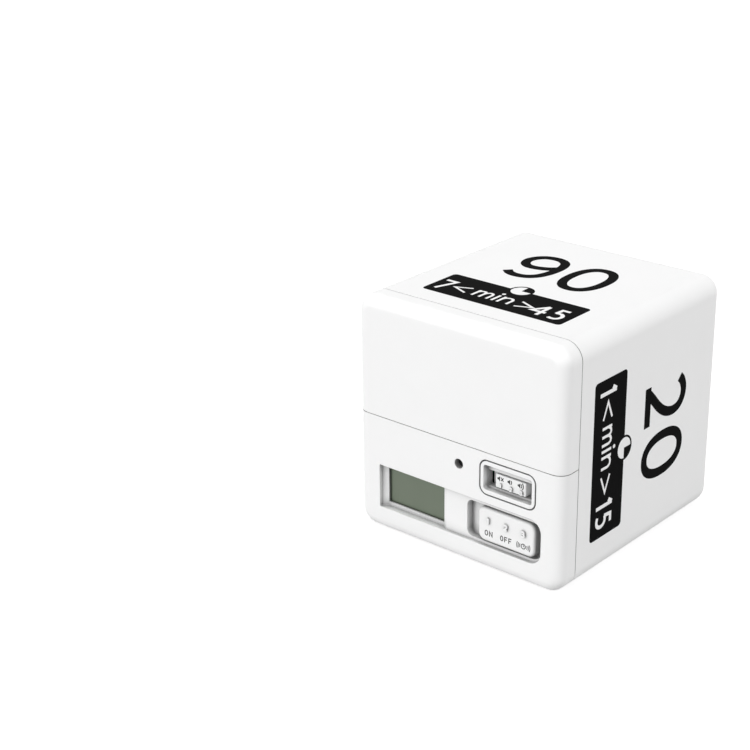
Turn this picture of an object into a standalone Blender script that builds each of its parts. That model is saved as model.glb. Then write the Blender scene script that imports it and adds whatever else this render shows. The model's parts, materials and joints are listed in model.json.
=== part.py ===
"""Cube timer that is set by turning a numbered side up, in metres with +Z up.

The control face looks along -Y. The origin is at the middle of the underside.
"""

import math

import bmesh
import bpy
from mathutils import Vector

# Outer form
WIDTH = 0.060
DEPTH = 0.064
HEIGHT = 0.060
EDGE_RADIUS = 0.0045
FACE_RADIUS = 0.003
WALL = 0.002
COVER_DEPTH = 0.006
SPLIT_SHARE = 0.5025

# Clearance between neighbours, overlap of joined shapes, and how far cutters run past a wall
GAP = 0.0003
BITE = 0.0005
OVERRUN = 0.001

# Lip inside the body's mouth, which the front cover fits over
LIP_THICKNESS = 0.0009
LIP_REACH = 0.0015

# Long recess of the control panel
RECESS_LEFT_MARGIN = 0.0061
RECESS_RIGHT_MARGIN = 0.0056
RECESS_BASE_SHARE = 0.1083
RECESS_DEPTH = 0.001
RECESS_RADIUS = 0.0032
RECESS_BACKING = 0.0008

# Display window at the recess's left end, with sloping sides down to the glass
WINDOW_SPACING = 0.00725
WINDOW_SLOPE = 0.0009
GLASS_DEPTH = 0.0026
GLASS_THICKNESS = 0.0026
GLASS_MARGIN = 0.0017
GLASS_LEDGE = 0.0025

# Tray behind the display
TRAY_WALL = 0.001
TRAY_FLOOR = 0.0012
ZEBRA_THICKNESS = 0.0016

# Pocket at the recess's right end, and the plate that slides in it
POCKET_LEFT_ROOM = 0.002
POCKET_RIGHT_ROOM = 0.0004
POCKET_RISE = 0.0007
POCKET_TOP_MARGIN = 0.0012
POCKET_DEPTH = 0.003
POCKET_LEFT_RADIUS = 0.0015
POCKET_RIGHT_RADIUS_SHARE = 0.301
POCKET_FLOOR = 0.0012
MODE_WIDTH = 0.0162
MODE_SINK = 0.0005
MODE_RADIUS = 0.0019
MODE_EDGE = 0.0008
MODE_TRAVEL = 0.0015
STEM_WIDTH = 0.005
STEM_HEIGHT = 0.0036
CLIP_BORDER = 0.0022
CLIP_THICKNESS = 0.001

# Flush ring round the upper slider
BEZEL_MARGIN = 0.0076
BEZEL_RISE = 0.002
BEZEL_DROP = 0.00155
BEZEL_WIDTH = 0.0159
BEZEL_HEIGHT = 0.0089
BEZEL_RADIUS = 0.0022
BEZEL_FLANGE = 0.0008
BEZEL_SIDE_RIM = 0.0012
BEZEL_END_RIM = 0.00135
BEZEL_WINDOW_RADIUS = 0.0006
BEZEL_WINDOW_DEPTH = 0.0017
BEZEL_FLOOR = 0.0016
SLOT_DROP = 0.0006
VOLUME_WIDTH = 0.0086
VOLUME_ROOM = 0.0028
VOLUME_SINK = 0.0013
VOLUME_EDGE = 0.0003
VOLUME_TRAVEL = 0.002
VOLUME_FLANGE = 0.0009
VOLUME_FLANGE_THICKNESS = 0.001

# Slide switches on the board
SWITCH_WIDTH = 0.0104
SWITCH_HEIGHT = 0.0046
SWITCH_DEPTH = 0.004
SWITCH_FLOOR = 0.0014
LEVER_WIDTH = 0.0018
LEVER_HEIGHT = 0.0014
LEVER_FIT = 0.0016

# Sound hole, its collar and the buzzer behind it
SOUND_SPACING = 0.0062
SOUND_DROP = 0.00495
SOUND_RADIUS = 0.0012
COLLAR_RADIUS = 0.0024
BUZZER_RADIUS = 0.004
BUZZER_LENGTH = 0.0055
BUZZER_PORT = 0.0009
BUZZER_EDGE = 0.0004

# Circuit board, its posts and screws
BOARD_DEPTH = 0.0104
BOARD_THICKNESS = 0.0016
BOARD_SIDE_ROOM = 0.0012
BOARD_BASE_ROOM = 0.001
BOARD_TOP_ROOM = 0.0006
BOARD_SCREW_1_SHARE = 0.528
BOARD_SCREW_1_DROP = 0.00615
BOARD_SCREW_2_SPACING = 0.0022
BOARD_SCREW_2_RISE = 0.00165
BOARD_SCREW_3_MARGIN = 0.004
BOARD_SCREW_3_DROP = 0.0002
BOARD_SCREW_RADIUS = 0.0008
BOARD_SCREW_LENGTH = 0.006
BOARD_HEAD_RADIUS = 0.0017
BOARD_HEAD_HEIGHT = 0.0012
POST_WALL = 0.0008

# Parts on the back of the board
CHIP_SPACING = 0.0111
CHIP_Z = 0.0125
CHIP_RADIUS = 0.0035
CHIP_HEIGHT = 0.0013
SENSOR_MARGIN = 0.0195
SENSOR_RISE = 0.0035
SENSOR_SIZE = 0.0084
SENSOR_WALL = 0.0012
SENSOR_FLOOR = 0.001
SENSOR_RADIUS = 0.0004
SENSOR_LID = 0.0008
BALL_RADIUS = 0.0015
BALL_ROOM = 0.0002
CRYSTAL_SPACING = 0.0041
CRYSTAL_Z = 0.0099
CRYSTAL_RADIUS = 0.001
CRYSTAL_LENGTH = 0.0056
CAPACITOR_SPACING = 0.0061
CAPACITOR_Z = 0.0190
CAPACITOR_RADIUS = 0.0015
CAPACITOR_LENGTH = 0.0042

# Inner frame behind the board
FRAME_ROOM = 0.0021
FRAME_THICKNESS = 0.0015
FRAME_RADIUS = 0.0022
FRAME_WINDOW_MARGIN = 0.0095
FRAME_WINDOW_BASE = 0.0088
FRAME_WINDOW_DROP = 0.00285
FRAME_WINDOW_RADIUS = 0.001
PANEL_SCREW_LEFT_MARGIN = 0.0054
PANEL_SCREW_RIGHT_MARGIN = 0.0043
PANEL_SCREW_DROP = 0.00395
PANEL_SCREW_BASE = 0.0052
PANEL_SCREW_RADIUS = 0.001
PANEL_SCREW_LENGTH = 0.008
PANEL_HEAD_RADIUS = 0.0021
PANEL_HEAD_HEIGHT = 0.0015
HEAD_FLAT_SHARE = 0.7
HEAD_SLOT_SHARE = 0.28
HEAD_SLOT_DEPTH_SHARE = 0.45

# Shelf of the panel behind the door's lower edge
SHELF_THICKNESS = 0.0012
SHELF_RISE = 0.00185
SHELF_ROOT = 0.0026
SHELF_SIDE_ROOM = 0.0006

# Battery bay for two cells, one above the other
CELL_EDGE = 0.0004
NUB_RADIUS = 0.0019
NUB_LENGTH = 0.0008
BAY_WALL = 0.001
BAY_SIDE_ROOM = 0.00185
BAY_FRONT_ROOM = 0.0018
BAY_RISE = 0.0004
CELL_END_PLAY = 0.0008
SPRING_LENGTH = 0.003
SPRING_WIRE = 0.0002
SPRING_BASE_SHARE = 0.61
SPRING_TIP_SHARE = 0.305
SPRING_TURNS = 3
SPRING_STEPS = 10
CONTACT_THICKNESS = 0.0004
CONTACT_MARGIN = 0.0009
TAIL_WIDTH = 0.002
TAIL_REACH = 0.001

# Leads from the contacts, down behind the frame and through its window to the board
LEAD_RADIUS = 0.0005
LEAD_STEPS = 6
LEAD_SIDE = 0.0006
LEAD_START_DROP = 0.00035
LEAD_BOW = 0.0038
LEAD_PAD_MARGIN = {"lead_negative": 0.0031, "lead_positive": 0.0015}
LEAD_PAD_DROP = {"lead_negative": 0.0039, "lead_positive": 0.0069}
LEAD_DOWN_SHARES = (
    (0.0, 0.0, 0.5),
    (0.03, 0.12, 0.85),
    (0.16, 0.39, 1.0),
    (0.38, 0.70, 1.0),
    (0.66, 0.95, 0.88),
)
LEAD_IN_SHARES = (
    (0.91, 0.58, 0.25),
    (1.0, 0.93, 0.55),
    (1.0, 1.0, 1.0),
)

# Clips of the frame, the body's catches for them, and the body's stop ribs
CLIP_X = 0.014
CLIP_WIDTH = 0.007
CLIP_ARM = 0.0011
CLIP_REACH = 0.0045
BARB_HEIGHT = 0.0008
BARB_LENGTH = 0.0011
CATCH_LENGTH = 0.0012
RIB_THICKNESS = 0.0012
RIB_HEIGHT = 0.0026
RIB_HEIGHT_SHARES = (0.25, 0.75)

# Tongues and cell rests of the battery door
TONGUE_X = 0.013
TONGUE_WIDTH = 0.008
TONGUE_THICKNESS = 0.0011
TONGUE_REACH = 0.0045
REST_X = 0.011
REST_THICKNESS = 0.0012

# Rounding of small edges
CORNER_STEPS = 6
RIM_STEPS = 5
SMALL_STEPS = 3
SMOOTH_ANGLE = math.radians(35)
QUARTER = math.radians(90)
ROUND_SIDES = 24
SMALL_SIDES = 16
TOUCH = 1e-7
MERGE = 1e-6

# Places worked out from the sizes above
LEFT = -WIDTH / 2
RIGHT = WIDTH / 2
FRONT = -DEPTH / 2
BACK = DEPTH / 2
SEAM = FRONT + COVER_DEPTH
COVER_INSIDE = FRONT + WALL
RECESS_LEFT = LEFT + RECESS_LEFT_MARGIN
RECESS_RIGHT = RIGHT - RECESS_RIGHT_MARGIN
SPLIT_HEIGHT = HEIGHT * SPLIT_SHARE
BEZEL_BASE = SPLIT_HEIGHT - BEZEL_DROP - BEZEL_HEIGHT
RECESS_BASE = HEIGHT * RECESS_BASE_SHARE
RECESS_TOP = BEZEL_BASE - BEZEL_RISE
RECESS_FLOOR = FRONT + RECESS_DEPTH
MODE_X = RECESS_RIGHT - POCKET_RIGHT_ROOM - MODE_TRAVEL - MODE_WIDTH / 2
POCKET_LEFT = MODE_X - MODE_WIDTH / 2 - MODE_TRAVEL - POCKET_LEFT_ROOM
POCKET_BASE = RECESS_BASE + POCKET_RISE
POCKET_TOP = RECESS_TOP - POCKET_TOP_MARGIN
POCKET_RIGHT_RADIUS = (POCKET_TOP - POCKET_BASE) * POCKET_RIGHT_RADIUS_SHARE
POCKET_BOTTOM_Y = FRONT + POCKET_DEPTH
POCKET_BACK = POCKET_BOTTOM_Y + POCKET_FLOOR
MODE_Z = (POCKET_BASE + POCKET_TOP) / 2
MODE_HEIGHT = POCKET_TOP - POCKET_BASE - 2 * GAP
MODE_FRONT = FRONT + MODE_SINK
WINDOW_RIGHT = POCKET_LEFT - WINDOW_SPACING
GLASS_FRONT = FRONT + GLASS_DEPTH
GLASS_BACK = GLASS_FRONT + GLASS_THICKNESS
GLASS_LEFT = RECESS_LEFT + WINDOW_SLOPE - GLASS_MARGIN
GLASS_RIGHT = WINDOW_RIGHT - WINDOW_SLOPE + GLASS_MARGIN
GLASS_BASE = RECESS_BASE + WINDOW_SLOPE - GLASS_LEDGE
GLASS_TOP = RECESS_TOP - WINDOW_SLOPE + GLASS_MARGIN
BEZEL_X = RIGHT - BEZEL_MARGIN - BEZEL_WIDTH / 2
BEZEL_Z = BEZEL_BASE + BEZEL_HEIGHT / 2
BEZEL_BACK = FRONT + BEZEL_WINDOW_DEPTH + BEZEL_FLOOR
BEZEL_WINDOW_WIDTH = BEZEL_WIDTH - 2 * BEZEL_SIDE_RIM
BEZEL_WINDOW_HEIGHT = BEZEL_HEIGHT - 2 * BEZEL_END_RIM
VOLUME_Z = BEZEL_Z - SLOT_DROP
VOLUME_HEIGHT = BEZEL_WINDOW_HEIGHT - VOLUME_ROOM
VOLUME_FRONT = FRONT + VOLUME_SINK
VOLUME_BACK = BEZEL_BACK + GAP + VOLUME_FLANGE_THICKNESS
SOUND_X = BEZEL_X - BEZEL_WIDTH / 2 - SOUND_SPACING
SOUND_Z = SPLIT_HEIGHT - SOUND_DROP
BOARD_FRONT = FRONT + BOARD_DEPTH
BOARD_BACK = BOARD_FRONT + BOARD_THICKNESS
BOARD_LEFT = LEFT + WALL + BOARD_SIDE_ROOM
BOARD_BASE = WALL + BOARD_BASE_ROOM
BOARD_TOP = SPLIT_HEIGHT - BOARD_TOP_ROOM
SWITCH_FRONT = BOARD_FRONT - GAP - SWITCH_DEPTH
SWITCH_BACK = BOARD_FRONT - GAP
LEVER_BACK = SWITCH_BACK - SWITCH_FLOOR - GAP
MIDDLE_SCREW_X = POCKET_LEFT - BOARD_SCREW_2_SPACING
BOARD_SCREWS = {
    "board_screw_1": (LEFT + (SOUND_X - LEFT) * BOARD_SCREW_1_SHARE, SPLIT_HEIGHT - BOARD_SCREW_1_DROP),
    "board_screw_2": (MIDDLE_SCREW_X, MODE_Z + BOARD_SCREW_2_RISE),
    "board_screw_3": (RIGHT - BOARD_SCREW_3_MARGIN, RECESS_TOP - BOARD_SCREW_3_DROP),
}
PANEL_SCREWS = {
    "panel_screw_1": (LEFT + PANEL_SCREW_LEFT_MARGIN, SPLIT_HEIGHT - PANEL_SCREW_DROP),
    "panel_screw_2": (RIGHT - PANEL_SCREW_RIGHT_MARGIN, SPLIT_HEIGHT - PANEL_SCREW_DROP),
    "panel_screw_3": (MIDDLE_SCREW_X, PANEL_SCREW_BASE),
}
CHIP_X = MIDDLE_SCREW_X - CHIP_SPACING
CRYSTAL_X = MIDDLE_SCREW_X - CRYSTAL_SPACING
CAPACITOR_X = MIDDLE_SCREW_X - CAPACITOR_SPACING
SENSOR_X = RIGHT - SENSOR_MARGIN
SENSOR_Z = FRAME_WINDOW_BASE + SENSOR_RISE + SENSOR_SIZE / 2
SENSOR_FRONT = BOARD_BACK + GAP
SENSOR_DEPTH = SENSOR_FLOOR + 2 * BALL_RADIUS + 2 * BALL_ROOM
SENSOR_BORE = SENSOR_SIZE / 2 - SENSOR_WALL
BALL_DROP = SENSOR_BORE - BALL_RADIUS - BALL_ROOM
TONGUE_TOP = HEIGHT - WALL - GAP
SHELF_TOP = SPLIT_HEIGHT + SHELF_RISE
BAY_BASE = SHELF_TOP + BAY_RISE + BAY_WALL
BAY_TOP = TONGUE_TOP - TONGUE_THICKNESS - GAP - BAY_WALL
BAY_HALF = RIGHT - WALL - BAY_SIDE_ROOM - BAY_WALL
CELL_RADIUS = (BAY_TOP - BAY_BASE - 3 * GAP) / 4
CELL_LENGTH = 2 * BAY_HALF - 2 * CONTACT_THICKNESS - 4 * GAP - SPRING_LENGTH - CELL_END_PLAY
CONTACT_SIZE = 2 * CELL_RADIUS - 2 * CONTACT_MARGIN
BAY_FRONT = COVER_INSIDE + BAY_FRONT_ROOM
CELL_Y = BAY_FRONT + CELL_RADIUS
CELL_LOW_Z = BAY_BASE + GAP + CELL_RADIUS
CELL_HIGH_Z = CELL_LOW_Z + 2 * CELL_RADIUS + GAP
FRAME_FRONT = max(CELL_Y + CELL_RADIUS + GAP, BOARD_BACK + FRAME_ROOM)
FRAME_BACK = FRAME_FRONT + FRAME_THICKNESS
FRAME_EDGE = WALL + GAP
FRAME_WINDOW_TOP = SPLIT_HEIGHT - FRAME_WINDOW_DROP
LEFT_PLATE_X = -BAY_HALF + GAP + CONTACT_THICKNESS / 2
RIGHT_PLATE_X = -LEFT_PLATE_X


def tidy_scene():
    """Removes what the scene holds and makes the two collections."""
    for obj in list(bpy.data.objects):
        bpy.data.objects.remove(obj, do_unlink=True)
    for name in ("Cube timer", "Cutters"):
        home = bpy.data.collections.new(name)
        bpy.context.scene.collection.children.link(home)


def add_object(name, data, place, kind):
    """Links an object to the parts, or hides it among the cutters."""
    obj = bpy.data.objects.new(name, data)
    obj.location = place
    bpy.data.collections["Cube timer" if kind == "part" else "Cutters"].objects.link(obj)
    if kind == "cutter":
        obj.hide_render = True
        obj.display_type = "WIRE"
    return obj


def mesh_object(name, bm, place, kind):
    bmesh.ops.recalc_face_normals(bm, faces=bm.faces)
    mesh = bpy.data.meshes.new(name)
    bm.to_mesh(mesh)
    bm.free()
    mesh.shade_smooth()
    mesh.set_sharp_from_angle(angle=SMOOTH_ANGLE)
    return add_object(name, mesh, place, kind)


def paint(obj, colour, roughness, metallic=0.0):
    """Gives an object a plain Principled material of its own."""
    made = bpy.data.materials.new(obj.name)
    made.use_nodes = True
    shader = made.node_tree.nodes["Principled BSDF"]
    shader.inputs["Base Color"].default_value = (*colour, 1.0)
    shader.inputs["Roughness"].default_value = roughness
    shader.inputs["Metallic"].default_value = metallic
    obj.data.materials.append(made)
    return obj


def bevel_edges(bm, edges, radius, steps):
    if radius > 0 and edges:
        bmesh.ops.bevel(
            bm, geom=edges, offset=radius, offset_type="OFFSET", segments=steps, profile=0.5, affect="EDGES"
        )


def block(name, low, high, kind="part", corner=0.0, right_corner=None, rim=0.0, ends="", steps=CORNER_STEPS,
          rim_steps=RIM_STEPS, draw_in=0.0):
    """A box between two corners, with its origin at its middle.

    The edges along Y get the corner radius, and those on the +X side right_corner if it is given.
    The edge loops round the Y ends named in ends, "-", "+" or both, get the rim radius.
    draw_in moves the sides of the +Y end inwards, which makes them slope.
    """
    low, high = Vector(low), Vector(high)
    size = high - low
    bm = bmesh.new()
    bmesh.ops.create_cube(bm, size=1)
    bmesh.ops.scale(bm, vec=size, verts=bm.verts)
    if draw_in:
        shrink = (1 - 2 * draw_in / size.x, 1, 1 - 2 * draw_in / size.z)
        bmesh.ops.scale(bm, vec=shrink, verts=[v for v in bm.verts if v.co.y > 0])
    sides = [e for e in bm.edges if abs(e.verts[0].co.y - e.verts[1].co.y) > TOUCH]
    right = [e for e in sides if e.verts[0].co.x > 0]
    if right_corner is None:
        right_corner = corner
    bevel_edges(bm, [e for e in sides if e not in right], corner, steps)
    if corner > 0 and right_corner == corner:
        bevel_edges(bm, [e for e in right if e.is_valid], corner, steps)
    elif right_corner > 0:
        past = size.x / 2 - TOUCH
        sides = [e for e in bm.edges if abs(e.verts[0].co.y - e.verts[1].co.y) > TOUCH]
        bevel_edges(bm, [e for e in sides if min(v.co.x for v in e.verts) > past], right_corner, steps)
    for end in ends:
        plane = size.y / 2 * (1 if end == "+" else -1)
        loop = [e for e in bm.edges if all(abs(v.co.y - plane) < TOUCH for v in e.verts)]
        bevel_edges(bm, loop, rim, rim_steps)
    return mesh_object(name, bm, (low + high) / 2, kind)


def rod(name, radius, start, end, x, z, kind="part", sides=ROUND_SIDES):
    """A cylinder along Y from start to end, round the line at x and z."""
    bm = bmesh.new()
    bmesh.ops.create_cone(
        bm, cap_ends=True, segments=sides, radius1=radius, radius2=radius, depth=end - start
    )
    obj = mesh_object(name, bm, (x, (start + end) / 2, z), kind)
    obj.rotation_euler.x = QUARTER
    return obj


def turned(name, profile, place, turn, sides=ROUND_SIDES, kind="part"):
    """A profile of (radius, height) points, from the top down, turned about its own Z by a Screw."""
    bm = bmesh.new()
    points = [bm.verts.new((radius, 0, height)) for radius, height in profile]
    for first, second in zip(points, points[1:]):
        bm.edges.new((first, second))
    mesh = bpy.data.meshes.new(name)
    bm.to_mesh(mesh)
    bm.free()
    obj = add_object(name, mesh, place, kind)
    obj.rotation_euler = turn
    screw = obj.modifiers.new("Turn", "SCREW")
    screw.steps = screw.render_steps = sides
    screw.use_merge_vertices = True
    screw.merge_threshold = MERGE
    screw.use_smooth_shade = True
    return obj


def tube(name, points, radius, resolution):
    """A round wire along the points, with flat ends."""
    curve = bpy.data.curves.new(name, "CURVE")
    curve.dimensions = "3D"
    curve.bevel_depth = radius
    curve.bevel_resolution = resolution
    curve.use_fill_caps = True
    spline = curve.splines.new("POLY")
    spline.points.add(len(points) - 1)
    for point, place in zip(spline.points, points):
        point.co = (*place, 1)
    spline.use_smooth = True
    return add_object(name, curve, (0, 0, 0), "part")


def smooth_route(points, steps):
    """Points on a smooth curve through the given ones, steps to a span."""
    knots = [Vector(p) for p in (points[0], *points, points[-1])]
    route = []
    for a, b, c, d in zip(knots, knots[1:], knots[2:], knots[3:]):
        for i in range(steps):
            t = i / steps
            square = (2 * a - 5 * b + 4 * c - d) * t**2
            cube = (3 * b - a - 3 * c + d) * t**3
            route.append((2 * b + (c - a) * t + square + cube) / 2)
    return [*route, knots[-1]]


def combine(obj, operation, others):
    for other in others:
        modifier = obj.modifiers.new(other.name, "BOOLEAN")
        modifier.operation = operation
        modifier.solver = "EXACT"
        modifier.object = other


def cut(obj, *others):
    combine(obj, "DIFFERENCE", others)


def join(obj, *others):
    combine(obj, "UNION", others)


def settle():
    """Makes each cut or joined part a plain mesh, so that its new edges are shaded sharp as well."""
    graph = bpy.context.evaluated_depsgraph_get()
    for obj in bpy.data.collections["Cube timer"].objects:
        if obj.type != "MESH" or not obj.modifiers:
            continue
        mesh = bpy.data.meshes.new_from_object(obj.evaluated_get(graph))
        obj.modifiers.clear()
        obj.data = mesh
        mesh.name = obj.name
        mesh.shade_smooth()
        mesh.set_sharp_from_angle(angle=SMOOTH_ANGLE)


def across(x, width):
    """Left and right ends of a width about x."""
    return x - width / 2, x + width / 2


def piece(name, x, y, z, kind="cutter", **shape):
    """A block from its ends along each axis."""
    return block(name, (x[0], y[0], z[0]), (x[1], y[1], z[1]), kind, **shape)


def body_shell():
    """Four printed sides and the back, in one moulding."""
    start = SEAM + GAP / 2
    shell = block("body_shell", (LEFT, start, 0), (RIGHT, BACK, HEIGHT), corner=EDGE_RADIUS,
                  rim=FACE_RADIUS, ends="+")
    step = WALL - LIP_THICKNESS
    lip = piece("body_lip", (LEFT + step, RIGHT - step), (start - LIP_REACH, start + OVERRUN),
                (step, HEIGHT - step), corner=EDGE_RADIUS - step)
    hollow = piece("body_hollow", (LEFT + WALL, RIGHT - WALL), (start - LIP_REACH - OVERRUN, BACK - WALL),
                   (WALL, HEIGHT - WALL), corner=EDGE_RADIUS - WALL, rim=FACE_RADIUS - WALL, ends="+")
    join(shell, lip)
    cut(shell, hollow)
    for side in (-1, 1):
        for share in RIB_HEIGHT_SHARES:
            inner, outer = side * (RIGHT - WALL - RIB_HEIGHT), side * (RIGHT - WALL + BITE)
            rib = piece(f"body_rib_{side}_{share}", sorted((inner, outer)),
                        (FRAME_BACK + GAP, BACK - WALL + BITE), across(share * HEIGHT, RIB_THICKNESS))
            join(shell, rib)
        for top in (False, True):
            join(shell, body_catch(side, top))
    return paint(shell, (0.93, 0.93, 0.93), 0.32)


def frame_clip_levels(top):
    """Heights of a clip's arm and the tip of its barb, on the top or the bottom wall."""
    edge = FRAME_EDGE + GAP + BARB_HEIGHT
    levels = (edge, edge + CLIP_ARM, FRAME_EDGE)
    return [HEIGHT - level for level in levels] if top else levels


def catch_start():
    return FRAME_BACK + CLIP_REACH - BARB_LENGTH - GAP - CATCH_LENGTH


def body_catch(side, top):
    """Rib on the top or the bottom wall that a clip's barb sits behind."""
    height = WALL + GAP + BARB_HEIGHT
    low, high = WALL - BITE, height
    if top:
        low, high = HEIGHT - high, HEIGHT - low
    return piece(f"body_catch_{side}_{top}", across(side * CLIP_X, CLIP_WIDTH),
                 (catch_start(), catch_start() + CATCH_LENGTH), (low, high))


def cover_half(name, low, high):
    """The part of the front cover between two heights."""
    half = block(name, (LEFT, FRONT, 0), (RIGHT, SEAM - GAP / 2, HEIGHT), corner=EDGE_RADIUS,
                 rim=FACE_RADIUS, ends="-")
    hollow = piece(f"{name}_hollow", (LEFT + WALL, RIGHT - WALL), (COVER_INSIDE, SEAM + OVERRUN),
                   (WALL, HEIGHT - WALL), corner=EDGE_RADIUS - WALL, rim=FACE_RADIUS - WALL, ends="-")
    step = WALL - LIP_THICKNESS - GAP
    rebate = piece(f"{name}_rebate", (LEFT + step, RIGHT - step),
                   (SEAM - GAP / 2 - LIP_REACH, SEAM + OVERRUN), (step, HEIGHT - step),
                   corner=EDGE_RADIUS - step)
    cut(half, hollow, rebate)
    width = across(0, WIDTH + 2 * OVERRUN)
    depth = (FRONT - OVERRUN, SEAM + OVERRUN)
    if low > 0:
        cut(half, piece(f"{name}_below", width, depth, (-OVERRUN, low)))
    if high < HEIGHT:
        cut(half, piece(f"{name}_above", width, depth, (high, HEIGHT + OVERRUN)))
    return half


def posts(screws, radius, end):
    """Hollow posts from the cover's wall, and the bores in them."""
    start = COVER_INSIDE - BITE
    made = []
    for name, (x, z) in screws.items():
        hole = radius + GAP
        outer = rod(f"{name}_post", hole + POST_WALL, start, end, x, z, "cutter", SMALL_SIDES)
        bore = rod(f"{name}_bore", hole, COVER_INSIDE + BITE, end + OVERRUN, x, z, "cutter", SMALL_SIDES)
        made.append((outer, bore))
    return made


def control_panel():
    """Lower half of the front cover, with the recess, window, pocket and openings."""
    panel = cover_half("control_panel", 0, SPLIT_HEIGHT - GAP / 2)
    edge = RECESS_BACKING
    wall = POCKET_FLOOR
    recess_backing = piece("panel_backing", (RECESS_LEFT - edge, RECESS_RIGHT + edge),
                           (COVER_INSIDE - BITE, GLASS_FRONT - GAP),
                           (RECESS_BASE - edge, RECESS_TOP + edge))
    pocket_backing = piece("panel_pocket_backing", (POCKET_LEFT - wall, RECESS_RIGHT + wall),
                           (COVER_INSIDE - BITE, POCKET_BACK), (POCKET_BASE - wall, POCKET_TOP + wall))
    shelf_sides = across(0, WIDTH - 2 * WALL - 2 * SHELF_SIDE_ROOM)
    shelf_back = COVER_INSIDE + GAP + SHELF_THICKNESS
    root = piece("panel_shelf_root", shelf_sides, (COVER_INSIDE - BITE, shelf_back),
                 (SPLIT_HEIGHT - SHELF_ROOT, SPLIT_HEIGHT - GAP))
    shelf = piece("panel_shelf", shelf_sides, (COVER_INSIDE + GAP, shelf_back),
                  (SPLIT_HEIGHT - SHELF_ROOT + BITE, SHELF_TOP))
    buzzer_front = SWITCH_BACK - BUZZER_LENGTH
    collar = rod("panel_collar", COLLAR_RADIUS, COVER_INSIDE - BITE, buzzer_front - GAP, SOUND_X,
                 SOUND_Z, "cutter")
    join(panel, recess_backing, pocket_backing, root, shelf, collar)
    bores = []
    for outer, bore in (
        *posts(BOARD_SCREWS, BOARD_SCREW_RADIUS, BOARD_FRONT - GAP),
        *posts(PANEL_SCREWS, PANEL_SCREW_RADIUS, FRAME_FRONT - GAP),
    ):
        join(panel, outer)
        bores.append(bore)
    recess = piece("panel_recess", (RECESS_LEFT, RECESS_RIGHT), (FRONT - OVERRUN, RECESS_FLOOR),
                   (RECESS_BASE, RECESS_TOP), right_corner=RECESS_RADIUS)
    window = piece("panel_window", (RECESS_LEFT, WINDOW_RIGHT), (RECESS_FLOOR, GLASS_FRONT - GAP),
                   (RECESS_BASE, RECESS_TOP), draw_in=WINDOW_SLOPE)
    through = piece("panel_window_through", (RECESS_LEFT + WINDOW_SLOPE, WINDOW_RIGHT - WINDOW_SLOPE),
                    (RECESS_FLOOR - BITE, GLASS_FRONT),
                    (RECESS_BASE + WINDOW_SLOPE, RECESS_TOP - WINDOW_SLOPE))
    pocket = piece("panel_pocket", (POCKET_LEFT, RECESS_RIGHT), (RECESS_FLOOR - BITE, POCKET_BOTTOM_Y),
                   (POCKET_BASE, POCKET_TOP), corner=POCKET_LEFT_RADIUS, right_corner=POCKET_RIGHT_RADIUS)
    stem_slot = piece("panel_stem_slot", across(MODE_X, STEM_WIDTH + 2 * MODE_TRAVEL + 2 * GAP),
                      (POCKET_BOTTOM_Y - BITE, POCKET_BACK + OVERRUN),
                      across(MODE_Z, STEM_HEIGHT + 2 * GAP))
    bezel_hole = piece("panel_bezel_hole", across(BEZEL_X, BEZEL_WIDTH),
                       (FRONT - OVERRUN, COVER_INSIDE + OVERRUN), across(BEZEL_Z, BEZEL_HEIGHT),
                       corner=BEZEL_RADIUS)
    bezel_room = piece("panel_bezel_room", across(BEZEL_X, BEZEL_WIDTH + 2 * BEZEL_FLANGE + 2 * GAP),
                       (COVER_INSIDE + GAP / 2, BEZEL_BACK + OVERRUN),
                       across(BEZEL_Z, BEZEL_HEIGHT + 2 * BEZEL_FLANGE + 2 * GAP))
    sound = rod("panel_sound_hole", SOUND_RADIUS, FRONT - OVERRUN, buzzer_front + OVERRUN, SOUND_X,
                SOUND_Z, "cutter")
    cut(panel, recess, window, through, pocket, stem_slot, bezel_hole, bezel_room, sound, *bores)
    return paint(panel, (0.93, 0.93, 0.93), 0.32)


def battery_door():
    """Upper half of the front cover, with two tongues above the battery bay and two rests for the cells."""
    door = cover_half("battery_door", SPLIT_HEIGHT + GAP / 2, HEIGHT)
    for side in (-1, 1):
        tongue = piece(f"door_tongue_{side}", across(side * TONGUE_X, TONGUE_WIDTH),
                       (COVER_INSIDE - BITE, SEAM + TONGUE_REACH),
                       (TONGUE_TOP - TONGUE_THICKNESS, TONGUE_TOP))
        rest = piece(f"door_rest_{side}", across(side * REST_X, REST_THICKNESS),
                     (COVER_INSIDE - BITE, BAY_FRONT - GAP),
                     (BAY_BASE + CELL_RADIUS, BAY_TOP - CELL_RADIUS))
        join(door, tongue, rest)
    return paint(door, (0.93, 0.93, 0.93), 0.32)


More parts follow.
